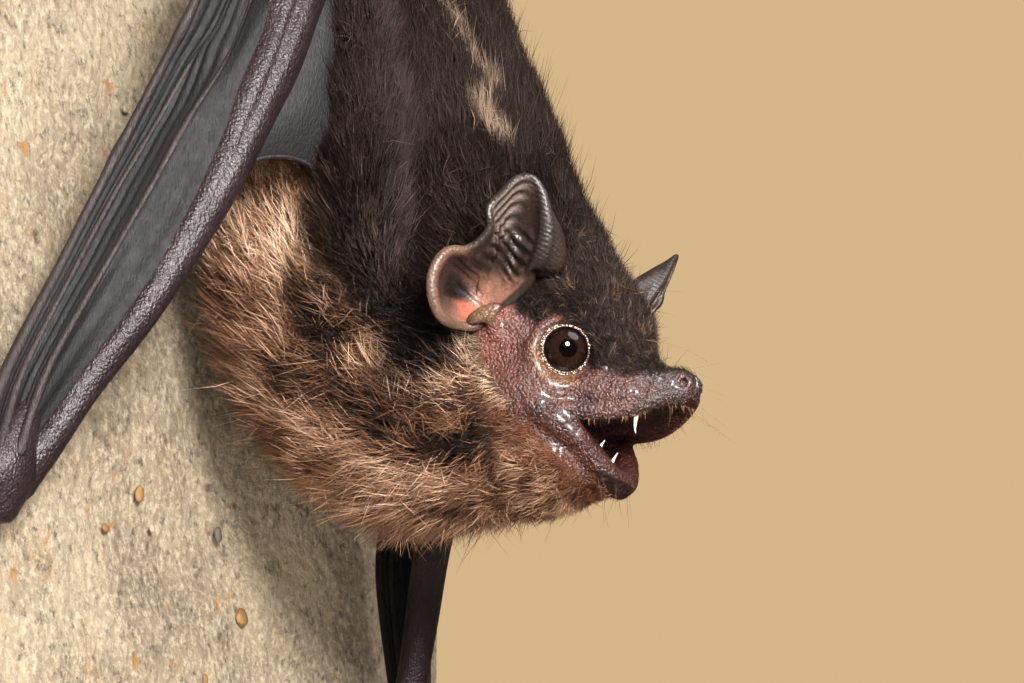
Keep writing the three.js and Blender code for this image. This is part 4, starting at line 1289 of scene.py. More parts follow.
def wing_material():
    n = Nodes("wing_skin")
    bumpy = n.tint("Alpha")  # 1 on the pebbled arm and less on the smooth webs
    grain = n.cells(0.17, n.warped(0.8, 0.1), 0.4)
    fine = n.noise(0.22, 3, 0.55, n.stretched(1.6, 1.6, 0.5))
    colour = n.darkened(n.tint(), (0.6, 0.55, 0.58), 1.6, 0.35, 0.7, 0.7, 4)
    # painted shade in the creases between the arm's pebbles
    crease_shade = n.maths("MULTIPLY", n.span(grain, 0.25, 0.6, 0, 0.6), bumpy)
    colour = n.blend(crease_shade, colour, (0.4, 0.34, 0.36), "MULTIPLY")
    # painted shade that follows the webs' fine wrinkles
    colour = n.blend(n.span(fine, 0.44, 0.62, 0, 0.6), colour, (0.42, 0.38, 0.4), "MULTIPLY")
    normal = n.bump(fine, 0.095, 0.8)
    normal = n.bump(n.maths("MULTIPLY", grain, bumpy), -0.05, 0.8, normal)
    rough = n.maths("ADD", n.span(n.noise(0.7), 0.3, 0.7, 0.0, 0.14), n.span(bumpy, 0.25, 1.0, 0.64, 0.34))
    return n.finish(colour, rough, normal, Specular_IOR_Level=0.35)


def hair_material():
    n = Nodes("coat_hair")
    colour = n.darkened(n.tint(), (0.62, 0.58, 0.56), 1.2, 0.35, 0.7, 0.35)
    return n.finish(colour, 0.4, Specular_IOR_Level=0.14)


def eye_material():
    n = Nodes("eye")
    colour = n.darkened(n.tint(), (0.4, 0.35, 0.35), 0.2, 0.4, 0.7, 0.5, 4)
    return n.finish(colour, 0.2, Coat_Weight=1.0, Coat_Roughness=0.02, Coat_IOR=1.36, Specular_IOR_Level=0.0)


def horn_material(name, low, high, rough):
    """Teeth and claws, streaked along their length from one colour to another."""
    n = Nodes(name)
    streak = n.noise(0.3, 3, 0.6, n.stretched(2, 2, 0.4))
    colour = n.blend(n.span(streak, 0.35, 0.65), low, high)
    return n.finish(colour, rough, n.bump(streak, 0.02, 0.5), Coat_Weight=0.5, Coat_Roughness=0.1)


def bead_material():
    n = Nodes("moist_rim_glint")
    # painted highlights: the glossy beads are coloured near white as the glints of the moist rim
    colour = n.mottled(rgb(238, 222, 212), rgb(160, 124, 108), 0.2, 0.4, 0.6)
    return n.finish(colour, 0.12, Coat_Weight=1.0, Coat_Roughness=0.05)


def cement_material():
    """Weathered cement: broad stains, pale sand grains, dark pits and a few rusty grains."""
    n = Nodes("cement")
    grit = n.cells(0.9, n.warped(1.6, 0.6))
    sand = n.noise(0.5, 6, 0.8)
    base = n.mottled(rgb(146, 132, 110), rgb(94, 81, 66), 13, 0.35, 0.68, 1, 5, 0.62)
    base = n.mottled(base, rgb(140, 110, 74), 4.5, 0.55, 0.72, 0.5, 4)
    colour = n.blend(n.span(sand, 0.46, 0.66, 0, 0.75), base, rgb(184, 172, 150))
    colour = n.mottled(colour, rgb(50, 42, 34), 0.9, 0.54, 0.66, 0.75, 5, 0.75)
    colour = n.mottled(colour, rgb(66, 56, 45), 3.0, 0.58, 0.7, 0.5, 4, 0.7)
    colour = n.mottled(colour, rgb(140, 98, 48), 1.9, 0.66, 0.72, 0.8)
    normal = n.bump(n.noise(3, 5, 0.7), 0.7, 0.8)
    normal = n.bump(grit, -0.35, 0.7, normal)
    normal = n.bump(sand, 0.32, 0.95, normal)
    return n.finish(colour, n.span(sand, 0.3, 0.7, 0.7, 0.95), normal, Specular_IOR_Level=0.25)


def stone_material():
    n = Nodes("stone")
    colour = n.darkened(n.tint(), (0.6, 0.55, 0.5), 1.5, 0.4, 0.65, 1, 4)
    return n.finish(colour, 0.7, n.bump(n.noise(0.5, 4), 0.12, 0.8), Specular_IOR_Level=0.3)


def stand_material():
    n = Nodes("stand_paint")
    colour = n.mottled((0.022, 0.022, 0.024), (0.032, 0.031, 0.032), 9, 0.4, 0.7, 1, 4)
    rough = n.span(n.noise(2.0, 4), 0.3, 0.7, 0.38, 0.52)
    return n.finish(colour, rough, n.bump(n.noise(0.5, 3), 0.05, 0.5), Coat_Weight=0.15, Coat_Roughness=0.3)


def floor_material():
    n = Nodes("floor")
    colour = n.mottled((0.74, 0.71, 0.66), (0.78, 0.75, 0.70), 60, 0.4, 0.6)
    return n.finish(colour, 0.85, n.bump(n.noise(4, 3), 0.05, 0.3), Emission_Color=(*rgb(236, 222, 198), 1),
                    Emission_Strength=0.22)


# ---------------------------------------------------------------- skin


def bridge(piece, cut_f):
    """Sews together the two open edges that meet at f of cut_f."""
    mesh = bmesh.new()
    mesh.from_mesh(piece.data)
    origin = np.array(ORIGIN)
    edges = []
    for edge in mesh.edges:
        if edge.is_boundary:
            middle = (np.array(edge.verts[0].co) + np.array(edge.verts[1].co)) / 2
            f = to_head(((middle - origin) / MM)[None])[0, 1]
            if abs(f - cut_f) < 1.2:
                edges.append(edge)
    made = bmesh.ops.bridge_loops(mesh, edges=edges)
    for face in made["faces"]:
        face.smooth = True
    mesh.to_mesh(piece.data)
    mesh.free()


def build_skin():
    """The skin of the head, trunk and upper limbs in one piece. Returns its points and quads."""
    points, faces = joined([head_mesh(), body_mesh()])
    quads = np.concatenate(faces)
    used = np.unique(quads)
    fresh = np.full(len(points), -1)
    fresh[used] = np.arange(len(used))
    points, quads = points[used], fresh[quads]
    tint, inside, calm = skin_tint(points)
    t, _, h = places(points)
    bare = (face_gap(h) > -0.1) & (t > HEAD_ROW)
    face_bare, face_in = bare[quads].mean(1) > 0.5, inside[quads].mean(1) > 0.5
    which = np.where(face_bare, np.where(face_in, 2, 1), 0)  # coat skin, face or mouth
    nodes = ["head", "jaw", "neck", "chest", "abdomen"]
    nodes += pairs("tragus", "thigh", "shin", "upper_arm") + ["tail"]
    piece = make("skin", points, quads, [coat_skin_material(), face_material(), mouth_material()],
                 nodes, np.column_stack([tint, 1 - calm]), which=which)
    bridge(piece, NECK_CUT)
    return points, quads


def ear_tint(points, keys, h):
    """An ear's colours, with painted highlights on the folded part's ridges and painted shade in the canal,
    and 1 for alpha along the front rim, where fine ribs cross it.
    """
    x, f, v = np.abs(h[:, 0]), h[:, 1], h[:, 2]
    t, rank, face = keys[:, 0], keys[:, 1], keys[:, 2]
    inner = face < 0.25
    tint = mix(rgb(26, 17, 13), rgb(46, 32, 26), 0.5 + 0.5 * noise(points, 1.4, 21))
    floor = smooth(4.6, 2.6, v + 0.35 * (x - 5)) * smooth(-7.2, -5.6, f) * inner
    tint = mix(tint, rgb(146, 106, 88), floor * 0.8)
    tint = mix(tint, rgb(146, 78, 60), smooth(2.3, 1.2, v) * inner * smooth(7.2, 6.0, x))
    # painted shade: the mouth of the canal is nearly black, as the hole lies in shade
    hole = ((f - EAR_CANAL[0]) / 1.45) ** 2 + ((v - EAR_CANAL[1]) / 0.95) ** 2
    tint = mix(tint, rgb(6, 3, 3), smooth(1.5, 0.6, hole) * inner * smooth(8.4, 7.6, x))
    # painted highlights along the crests of the folded-back part's ridges, with painted shade in the hollows
    # between them
    flap = flap_share(t) * smooth(0.3, 0.5, rank) * inner
    crest = np.sin(math.pi * flap_phase(rank, t)) ** 2
    tint = mix(tint, mix(rgb(30, 22, 19), rgb(118, 102, 96), crest), 0.85 * flap)
    lobe = smooth(4.9, 4.0, v) * smooth(-4.8, -5.6, f)
    rim = smooth(0.86, 0.97, rank)
    tint = mix(tint, rgb(86, 64, 51), lobe * np.maximum(rim, (face > 0.75) * 0.8))
    tint = mix(tint, rgb(40, 30, 26), (1 - lobe) * rim * 0.6)
    ribbed = smooth(0.86, 0.94, rank) * smooth(0.03, 0.09, t) * smooth(0.34, 0.28, t)
    return np.column_stack([tint, ribbed])


def build_ears():
    parts, tints = [], []
    for _, side in SIDES:
        points, quads, keys, h = ear_mesh(side)
        parts.append((points, outward(points, quads)))
        tints.append(ear_tint(points, keys, h))
    points, faces = joined(parts)
    make("ears", points, faces, [ear_material()], pairs("ear"), np.concatenate(tints))


# ---------------------------------------------------------------- eyes and teeth


def globe(around, down, close, axes):
    """Directions over a ball from the pole along its third axis, and their angles from that pole."""
    theta = np.linspace(close, math.pi - close, down)
    a, b = turns(around)[:, None, None], theta[None, :, None]
    return np.cos(b) * axes[2] + np.sin(b) * (np.cos(a) * axes[0] + np.sin(a) * axes[1]), theta


def eyeball(side):
    """Points, quads and colours of an eye: a black pupil, a brown rayed iris and a pale rim."""
    around, down = 72, 54
    local, theta = globe(around, down, 0.002, (RING_BACK, RING_UP, GAZE))
    cornea = 0.10 * np.clip(1 - (theta / 0.92) ** 2, 0, 1)
    grid = EYE + local * (EYE_RADIUS + cornea)[None, :, None]
    points = head_points(grid.reshape(-1, 3) * [side, 1, 1])
    out = np.sin(theta) * EYE_RADIUS
    a = turns(around)
    rays = 0.5 + 0.5 * np.sin(a * 23 + 2 * np.sin(a * 5))[:, None] * np.ones(down)
    tone = smooth(0.5, 0.56, out)[None] * (1 - 0.85 * smooth(0.85, 1.25, out))[None] * (0.65 + 0.35 * rays)
    colour = mix(rgb(2, 2, 2), rgb(27, 15, 10), tone)
    edge = smooth(1.3, 1.36, out)[None] * np.ones((around, 1))
    colour = mix(colour, rgb(96, 70, 62), edge * (theta < math.pi / 2))
    return points, outward(points, grid_quads(around, down, True)), colour.reshape(-1, 3)


def build_eyes():
    material = eye_material()
    for name, side in SIDES:
        points, quads, tint = eyeball(side)
        make(f"eyeball_{name}", points, quads, [material], [f"eye_{name}"], tint)


def ball(centre, radius, around=8, down=6):
    points = centre + radius * globe(around, down, 0.01, np.eye(3))[0].reshape(-1, 3)
    return points, outward(points, grid_quads(around, down, True))


# The rows of beads round an eye: how far from the gaze, how far along it, the beads' size and how many.
BEAD_ROWS = ((1.37, 0.84, 0.054, 60), (1.48, 0.66, 0.06, 54))


def build_beads():
    """The moist beaded margin between each eye and its lids, its beads painted near white as glints."""
    parts = []
    for _, side in SIDES:
        for row, (reach, along, size, count) in enumerate(BEAD_ROWS):
            for i in range(count):
                a = (i + 0.5 * row + rng.uniform(-0.25, 0.25)) / count * 2 * math.pi
                h = ring(a, reach + rng.normal(0, 0.03), along)
                parts.append(ball(head_points((h * [side, 1, 1])[None])[0], size * rng.uniform(0.55, 1.2)))
    points, faces = joined(parts)
    make("eye_rims", points, faces, [bead_material()], ())


def build_teeth():
    parts = []
    for root, tip, radius in TEETH:
        for _, side in SIDES:
            a, b = np.array(root), np.array(tip)
            if side > 0:  # the far teeth stay behind the lips
                a, b = a - 0.8 * (b - a), b - 0.85 * (b - a)
            bend = np.array([0, -0.12, 0]) * 0.6
            path = np.array([a, a + (b - a) * 0.4 + bend, a + (b - a) * 0.75 + bend, b]) * [side, 1, 1]
            radii = [radius, radius * 0.85, radius * 0.45, 0.03]
            parts.append(tube(np.column_stack([in_space(head_points(path)), radii]), 9, 10))
    points, faces = joined(parts)
    make("teeth", points, faces, [horn_material("tooth", rgb(204, 200, 184), rgb(176, 156, 136), 0.3)])


# ---------------------------------------------------------------- wings

# Along each part of the wing: x, out, up and half-width, and half-depth where it isn't round.
FOREARM = [
    [23.5, 2.0, 0.2, 1.15, 1.25], [21.9, 4.8, 5.4, 1.0, 1.05], [19.4, 9.3, 13.6, 1.15, 1.2],
    [17.0, 12.4, 22.8, 1.65, 1.7], [15.0, 14.1, 30.8, 2.0, 2.0], [13.3, 15.1, 38.0, 1.8, 1.9],
    [12.6, 15.6, 43.0, 1.1, 1.2],
]
DIGIT3 = [
    [26.6, 1.7, 0.6, 0.5], [25.4, 2.0, 5.5, 0.4], [22.5, 3.8, 13.4, 0.32], [21.2, 5.0, 17.7, 0.3],
    [20.0, 6.4, 22.0, 0.3], [19.5, 8.2, 25.9, 0.3], [19.4, 10.2, 29.7, 0.3], [17.6, 12.2, 38.0, 0.5],
]
DIGIT4 = [
    [26.0, 2.5, 1.2, 0.4], [24.8, 2.9, 6.0, 0.24], [22.3, 4.8, 13.4, 0.2], [20.9, 6.1, 17.7, 0.2],
    [19.4, 7.6, 22.0, 0.2], [18.4, 9.2, 25.9, 0.2], [17.1, 10.9, 29.7, 0.2], [15.6, 12.6, 37.0, 0.3],
]
DIGIT5 = [
    [25.4, 3.4, 1.2, 0.28], [24.8, 4.7, 6.2, 0.26], [22.6, 7.3, 13.4, 0.2], [21.4, 9.0, 17.7, 0.2],
    [20.2, 10.6, 22.0, 0.18], [18.4, 11.8, 25.9, 0.16], [17.0, 12.4, 29.7, 0.16], [15.6, 13.0, 36.0, 0.2],
]
WRIST = [
    [24.0, 3.7, 5.2, 0.4, 0.4], [24.6, 2.7, 2.6, 1.25, 1.1], [24.7, 2.2, 0.4, 2.0, 1.4],
    [24.6, 1.7, -1.4, 1.3, 1.1],
]
THUMB = [
    [24.6, 1.7, -0.5, 0.8, 0.75], [26.2, 1.4, -1.15, 0.5, 0.5], [27.4, 1.3, -1.25, 0.42, 0.42],
    [28.6, 1.25, -1.05, 0.4, 0.45],
]
THUMB_CLAW = [
    [28.5, 1.25, -1.05, 0.32], [29.2, 1.2, -0.95, 0.24], [29.7, 0.85, -0.8, 0.14], [29.85, 0.35, -0.75, 0.03],
]
# The two edges of the small web in front of the elbow.
SHOULDER_LINE = [[10.2, 14.6, 20.4], [11.6, 15.6, 24.0], [12.0, 16.0, 30.0], [12.0, 15.6, 36.0]]
FOREARM_LINE = [[18.3, 11.2, 18.6], [16.9, 12.8, 23.4], [15.2, 14.2, 30.2], [13.8, 15.0, 36.0]]
ARM_TONE, WEB_TONE, BONE_TONE = rgb(44, 32, 34), rgb(17, 14, 16), rgb(38, 28, 27)
SMALL_WEB_TONE, SMALL_WEB_EDGE = rgb(20, 17, 20), rgb(36, 31, 32)


def line_of(rows, t):
    """Points along a spline through the x, out, up of rows."""
    return in_space(spline(np.asarray(rows, float)[:, :3], t))


def sheet_between(a, b, across, sag, pleat):
    """A grid between two lines of points. Sag and pleat move it, given shares of its two sides."""
    t, s = np.linspace(0, 1, len(a)), np.linspace(0, 1, across)
    grid = a[:, None] * (1 - s[None, :, None]) + b[:, None] * s[None, :, None]
    T, S = np.meshgrid(t, s, indexing="ij")
    grid = grid + (4 * S * (1 - S))[..., None] * sag(T)
    return grid + grid_normals(grid, False) * (pleat(T, S) * np.minimum(1, 12 * S * (1 - S)))[..., None]


def folds(T, S, height, count, sway, bends):
    """Folds that run along a sheet and sway from side to side."""
    return height * np.sin(2 * math.pi * (count * S + sway * np.sin(bends * T)))


def knuckle(spots, size):
    """A tube's shape with swellings at some shares of its length."""
    return lambda t, a: 1 + sum(size * np.exp(-(((t - p) / 0.035) ** 2)) for p in spots)


def forearm_shape(t, a):
    """Two long grooves beside the bone towards the elbow, and swellings of muscle."""
    groove = 0
    for centre in (2.5, 3.9, 5.4):
        gap = (a - centre - 0.25 * t + math.pi) % (2 * math.pi) - math.pi
        groove = groove + 0.16 * np.exp(-((gap / 0.16) ** 2))
    return 1 - groove * smooth(0.25, 0.6, t) * smooth(1.0, 0.9, t) + 0.03 * np.sin(40 * t + 3 * np.sin(a))


class Leather:
    """Meshes that make up one piece of bare skin, each with its own mottled tone."""

    def __init__(self, dark, lump, seed):
        self.dark, self.lump, self.seed = dark, lump, seed
        self.parts, self.tints = [], []

    def put(self, mesh, tone, bumpy):
        """Adds a mesh. Bumpy is 1 on pebbled skin and less on smooth webs."""
        points = mesh[0]
        blotch = np.clip(0.5 + 0.5 * noise(points, self.lump, self.seed), 0, 1)
        tint = mix(tone, tone * self.dark, blotch)
        self.parts.append(mesh)
        self.tints.append(np.column_stack([tint, np.full(len(points), bumpy)]))

    def build(self, name, material, nodes):
        points, faces = joined(self.parts)
        make(name, points, faces, [material], nodes, np.concatenate(self.tints))


def web_sag(k, side, T):
    """How far the middle of a web stands off. The webs are the broad one, the next one and the front one."""
    x = (0.25 * np.sin(T * 3), -(0.35 - 0.9 * smooth(0.62, 0.78, T)), -0.15 * np.ones_like(T))[k]
    y = (0.15 * T, 0.2 + 0 * T, 0 * T)[k]
    return np.stack([side * x, y, 0 * T], -1)


def web_pleats(k, T, S):
    return (folds(T, S, 0.05, 2.2, 0.5, 3) * smooth(1, 0.3, T) + 0.03 * np.sin(26 * T + 7 * S),
            folds(T, S, 0.09, 3.4, 0.35, 5) + 0.02 * np.sin(60 * T),
            folds(T, S, 0.07, 3.0, 0.2, 4))[k]


def put_webs(leather, side, digits):
    """The webs from the arm to the fifth digit and from digit to digit."""
    t = np.linspace(0, 1, 130)
    # the broad web leaves the arm along its outer side, and its front edge covers the fifth digit's end
    shoulder = np.array(FOREARM[:6])
    shoulder[:, 0] += 0.93 * shoulder[:, 3]
    shoulder[:, 1] += 0.1 * shoulder[:, 3]
    lines = [line_of(rows, t) for rows in [wing_rows(shoulder, side)] + digits]
    for k, (a, b) in enumerate(zip(lines, lines[1:])):
        grid = sheet_between(a, b, 30, lambda T: web_sag(k, side, T), lambda T, S: web_pleats(k, T, S))
        leather.put(shell(grid, 0.14), WEB_TONE, 0.25)


def put_small_web(leather, side):
    """The web in front of the elbow, with a rounded edge."""
    t = np.linspace(0, 1, 130)[::2]
    front = line_of(wing_rows(SHOULDER_LINE, side, np.arange(4) / 3), t)
    back = line_of(wing_rows(FOREARM_LINE, side), t)
    grid = sheet_between(front, back, 30,
                         lambda T: np.stack([0 * T, -0.4 + 0 * T, 1.7 * np.maximum(0, 1 - 2.5 * T)], -1),
                         lambda T, S: 0.1 * np.sin(2 * math.pi * (1.6 * S + 1.2 * T)) * T)
    leather.put(shell(grid, 0.2), SMALL_WEB_TONE, 0.3)
    edge = np.column_stack([in_space(grid[0]), np.full(30, 0.16)])
    leather.put(tube(edge, 60, 10), SMALL_WEB_EDGE, 0.5)


def build_wings(material):
    """Both folded wings. Returns the thumbs' claws."""
    claws = []
    for name, side in SIDES:
        leather = Leather(0.55, 2.2, 31)
        leather.put(tube(wing_rows(FOREARM, side), 90, 48, forearm_shape), ARM_TONE, 1.0)
        leather.put(tube(wing_rows(WRIST, side), 14, 28), ARM_TONE, 1.0)
        leather.put(tube(wing_rows(THUMB, side), 20, 18, knuckle((0.45,), 0.25)), BONE_TONE, 1.0)
        claws.append(tube(wing_rows(THUMB_CLAW, side), 12, 12))
        digits = [wing_rows(rows, side) for rows in (DIGIT5, DIGIT4, DIGIT3)]
        for rows, size in zip(digits, (0.3, 0.25, 0.3)):
            leather.put(tube(rows, 90, 12, knuckle((0.02, 0.52, 0.8), size)), BONE_TONE, 0.5)
        put_webs(leather, side, digits)
        put_small_web(leather, side)
        nodes = ("forearm", "wrist", "thumb", "digit3", "digit4", "digit5",
                 "web_arm", "web_outer", "web_edge", "propatagium")
        leather.build(f"wing_{name}", material, [f"{node}_{name}" for node in nodes])
    return claws


# ---------------------------------------------------------------- feet, tail and hind skins

SOLE = [[10.8, 2.5, 80.0, 1.0, 0.85], [10.8, 1.9, 82.4, 1.7, 0.75], [10.8, 1.5, 84.0, 1.95, 0.55]]
TOE = dict(count=5, spread=0.95, root=83.0, length=6.2, splay=0.25, radius=0.4)
SOLE_TONE, TOE_TONE, SIDE_TONE, TAIL_TONE = rgb(84, 64, 56), rgb(80, 60, 54), rgb(42, 37, 39), rgb(46, 39, 39)


def put_foot(leather, side):
    """The sole and toes of one foot. Returns its claws."""
    claws = []
    leather.put(tube(side_rows(SOLE, side), 20, 26), SOLE_TONE, 0.6)
    root, tip, r = TOE["root"], TOE["root"] + TOE["length"], TOE["radius"]
    for k in range(TOE["count"]):
        offset = (k - (TOE["count"] - 1) / 2) * TOE["spread"]
        x = 10.8 + offset
        lean = TOE["splay"] * offset
        bow = 0.25 * math.sin(k * 2.1)
        end = x + lean
        rows = [[x, 1.5, root, r, r], [x + 0.35 * lean, 1.75 + bow * 0.3, root + 2.4, r, r],
                [x + 0.7 * lean, 1.5, root + 4.3, r * 0.95, r * 0.95], [end, 1.2, tip, r * 0.8, r * 0.85]]
        leather.put(tube(side_rows(rows, side), 34, 14, knuckle((0.35, 0.68), 0.16)), TOE_TONE, 0.6)
        rows = [[end, 1.25, tip - 0.3, 0.32], [end, 1.35, tip + 0.4, 0.28], [end, 1.05, tip + 0.85, 0.18],
                [end, 0.5, tip + 1.0, 0.03]]
        claws.append(tube(side_rows(rows, side), 14, 12))
    return claws


def put_side_skin(leather, side):
    """The skin between the flank and the folded wing and leg."""
    t = np.linspace(0, 1, 60)
    flank = [[9.0, 8.6, 33.0], [8.6, 8.6, 44.0], [8.2, 8.8, 54.0], [11.6, 7.2, 66.0], [11.2, 4.2, 76.0]]
    fold = np.concatenate([wing_rows([[15.6, 11.6, 33.6], [15.0, 10.6, 41.0]], side, [1, 0.5]),
                           side_rows([[13.6, 8.6, 52.0], [13.4, 6.6, 64.0], [12.2, 4.2, 76.0]], side)])
    grid = sheet_between(line_of(side_rows(flank, side), t), line_of(fold, t), 18,
                         lambda T: np.stack([0 * T, 1.2 * (1 - T), 0 * T], -1),
                         lambda T, S: folds(T, S, 0.16, 2.6, 0.5, 6))
    leather.put(shell(grid, 0.2), SIDE_TONE, 0.25)


def put_tail_skin(leather, side):
    """The skin between the tail and the leg."""
    t = np.linspace(0, 1, 60)
    middle = [[0, 9.4, 59.0], [0, 9.0, 63.0], [0, 8.9, 66.5], [0, 8.8, 69.5]]
    leg = side_rows([[9.0, 9.6, 59.0], [11.9, 8.6, 65.0], [11.7, 6.2, 72.0], [10.9, 3.6, 78.0]], side)
    grid = sheet_between(line_of(middle, t), line_of(leg, t), 34,
                         lambda T: np.stack([0 * T, 0.8 + 0 * T, -2.0 * T * T], -1),
                         lambda T, S: folds(T, S, 0.14, 3, 0.4, 5))
    leather.put(shell(grid, 0.2), TAIL_TONE, 0.25)


def build_hind(material, claws):
    """Both feet and the skins beside the tail, and then all the claws."""
    for name, side in SIDES:
        leather = Leather(0.6, 1.8, 41)
        claws = claws + put_foot(leather, side)
        put_side_skin(leather, side)
        put_tail_skin(leather, side)
        leather.build(f"hind_{name}", material, [f"foot_{name}", f"side_skin_{name}", f"tail_skin_{name}"])
    points, faces = joined(claws)
    make("claws", points, faces, [horn_material("claw", rgb(70, 52, 42), rgb(128, 104, 84), 0.3)])


# ---------------------------------------------------------------- the coat


def scatter(points, quads, weight, count):
    """Roots and surface normals at random over quads, in proportion to area times weight at each vertex."""
    normals = vertex_normals(points, quads)
    tris = np.concatenate([quads[:, [0, 1, 2]], quads[:, [0, 2, 3]]])
    a, b, c = (points[tris[:, i]] for i in range(3))
    area = np.linalg.norm(np.cross(b - a, c - a), axis=1) / 2 * weight[tris].mean(1)
    total = np.cumsum(area)
    pick = np.searchsorted(total, (np.arange(count) + rng.random(count)) / count * total[-1])
    pick = np.minimum(pick, len(tris) - 1)
    u, v = rng.random(count), rng.random(count)
    flip = u + v > 1
    u, v = np.where(flip, 1 - u, u), np.where(flip, 1 - v, v)
    tri = tris[pick]

    def between(values):
        a, b, c = (values[tri[:, i]] for i in range(3))
        return a * (1 - u - v)[:, None] + b * u[:, None] + c * v[:, None]

    return between(points), unit(between(normals))


def over_ear(h):
    """1 where an ear stands, and no coat grows."""
    x, f, v = np.abs(h[:, 0]), h[:, 1], h[:, 2]
    return (((f + 5.3) / 2.3) ** 2 + ((v - 2.1) / 2.3) ** 2 < 1) & (x > 3.6)


def coat_density(points):
    """How thickly the coat grows at points of the skin."""
    t, _, h = places(points)
    f, v = h[:, 1], h[:, 2]
    head = t > HEAD_ROW
    gap = face_gap(h) + 0.25 * noise(points, 0.7, 12)
    keep = 1 - smooth(-0.35, 0.3, gap) * head
    # sparse short hair comes up over the jaw
    jaw = smooth(2.6, 0.4, v - np.interp(f, *FACE_LOW))
    jaw = jaw * smooth(-4.2, -4.9, v + 0.35 * np.maximum(f, 0)) * smooth(3.4, 2.4, f)
    outside = head * (inner_mouth(h) < 0.1)
    keep = np.maximum(keep, 0.95 * jaw * outside)
    # and comes a little way down the sides of the muzzle from its ridge
    side = smooth(1.1, 0.3, gap) * smooth(-1.4, -0.6, v) * smooth(-0.5, 0.8, f) * smooth(5.6, 5.0, f)
    keep = np.maximum(keep, side * outside)
    keep = keep * (smooth(2.0, 6.0, t) * 0.7 + 0.5) * (1 + 0.6 * (t > 8.6) + 0.5 * (t > 10.5))
    keep = keep * (0.45 + 0.55 * smooth(3.0, 7.0, -points[:, 1]))  # fewer on the side against the wall
    keep[over_ear(h)] = 0
    shin = (points[:, 2] > 65) & (np.abs(points[:, 0]) > 8)
    keep[shin] *= 0.3
    keep[(points[:, 2] > 66) & (np.abs(points[:, 0]) < 3)] = 0.1
    return keep


def flow(points, normals, t, w):
    """The way the coat lies: towards the tail, and back from the muzzle over the head."""
    back = stations.tailward(t * STATION_STEPS, w)
    h = to_head(points)
    crown = -FORWARD * 0.8 + CROWN * 0.6
    share = (smooth(-6.0, -3.5, h[:, 1]) * smooth(-2.0, 0.0, h[:, 2]))[:, None]
    back = back * (1 - share) + crown * share
    throat = (smooth(-6.0, -3.5, h[:, 1]) * smooth(-2.0, -4.0, h[:, 2]))[:, None]
    back = back * (1 - throat) + (-FORWARD * 0.85 - CROWN * 0.55) * throat
    sideways = np.zeros_like(points)
    sideways[:, 0] = np.sign(points[:, 0]) * 0.35 * smooth(0.3, -0.9, w)
    back = back + sideways
    limb = (np.abs(points[:, 0]) > 10.2) & (points[:, 2] > 12)
    back[limb] = [0, 0.1, 1]
    return along_skin(back, normals)


SUNK = 0.12  # how far under the skin a tuft starts


def strands(root, normal, lie, length, lift, curl, width, root_tint, tip_tint, knots, uv):
    """Thin three-sided tufts as one mesh. Knots are the rings' places along a tuft."""
    n = len(root)
    side = unit(np.cross(normal, lie))

    def raised(angle):
        return lie * np.cos(angle)[:, None] + normal * np.sin(angle)[:, None]

    first, last = unit(raised(lift + 0.3)), unit(raised(lift - 0.25) + side * curl[:, None])
    start = root - normal * SUNK
    rows, tints, uvs = [], [], []
    for s in knots:
        spot = start + length[:, None] * (first * (s - s * s / 2) + last * (s * s / 2))
        way = unit(first * (1 - s) + last * s)
        deep = np.cross(way, side)
        radius = (width / 2 * (1 - 0.75 * s**1.6))[:, None] * (1.15 if s == 0 else 1)
        tone = mix(root_tint, tip_tint, np.full(n, float(smooth(0.12, 0.75, s))))
        for k in range(3):
            a = 2 * math.pi * k / 3
            rows.append(spot + radius * (side * math.cos(a) + deep * math.sin(a)))
            tints.append(tone)
            uvs.append(uv + [0.003 * k / 3, 0.003 * s])
    rows.append(start + length[:, None] * (first + last) / 2)
    tints.append(tip_tint)
    uvs.append(uv + [0.0015, 0.003])
    each = len(rows)
    stack = lambda parts: np.stack(parts, 1).reshape(n * each, -1)
    index = (np.arange(n) * each)[:, None]
    top = 3 * (len(knots) - 1)
    ends = [[top + k, top + (k + 1) % 3, each - 1] for k in range(3)] + [[0, 2, 1]]
    faces = [np.concatenate([index + corners for corners in ends])]
    for low in range(0, top, 3):
        sides = [[low + k, low + (k + 1) % 3, low + (k + 1) % 3 + 3, low + k + 3] for k in range(3)]
        faces.append(np.concatenate([index + corners for corners in sides]))
    return stack(rows), faces, stack(tints), stack(uvs)


def clumps(points, size, seed):
    """The middle of the lock each point belongs to, and a random number from 0 to 1 for that lock."""
    base = np.floor(points / size).astype(np.int64)
    near, chance = np.full(len(points), 1e9), np.zeros(len(points))
    middle = np.zeros_like(points)
    for step in np.ndindex(3, 3, 3):
        cell = base + np.array(step) - 1
        h = scrambled((cell * PRIMES).sum(1), seed)
        parts = [((h >> k & 65535) / 65535)[:, None] for k in (4, 13, 22, 31)]
        spot = (cell + np.concatenate(parts[:3], 1)) * size
        gap = ((spot - points) ** 2).sum(1)
        closer = gap < near
        near = np.where(closer, gap, near)
        middle[closer] = spot[closer]
        chance[closer] = parts[3][closer, 0]
    return middle, chance


def coat_uv(points, t, w):
    """Where roots lie round and along the body, as shares of a square."""
    half = stations.read(stations.half, t * STATION_STEPS)
    around = np.arctan2(points[:, 0] / half, w) / (2 * math.pi) + 0.5
    return np.stack([0.002 + 0.99 * around, 0.002 + 0.99 * np.clip(t / 15, 0, 1)], 1)


# How many tufts, their knots, the pieces they make, their locks' size and pull, and how loose and curly.
COAT = {
    "cape": (84000, (0.0,), 2, 0.7, 0.35, 0.3, 0.2),
    "crown": (27000, (0.0, 0.5), 2, 0.5, 0.3, 1.1, 0.9),
    "buff": (76000, (0.0, 0.5), 4, 0.7, 0.5, 0.9, 0.8),
}


def along_skin(way, normal):
    """A way with what leaves the skin taken off it."""
    return unit(way - normal * (way * normal).sum(1, keepdims=True))


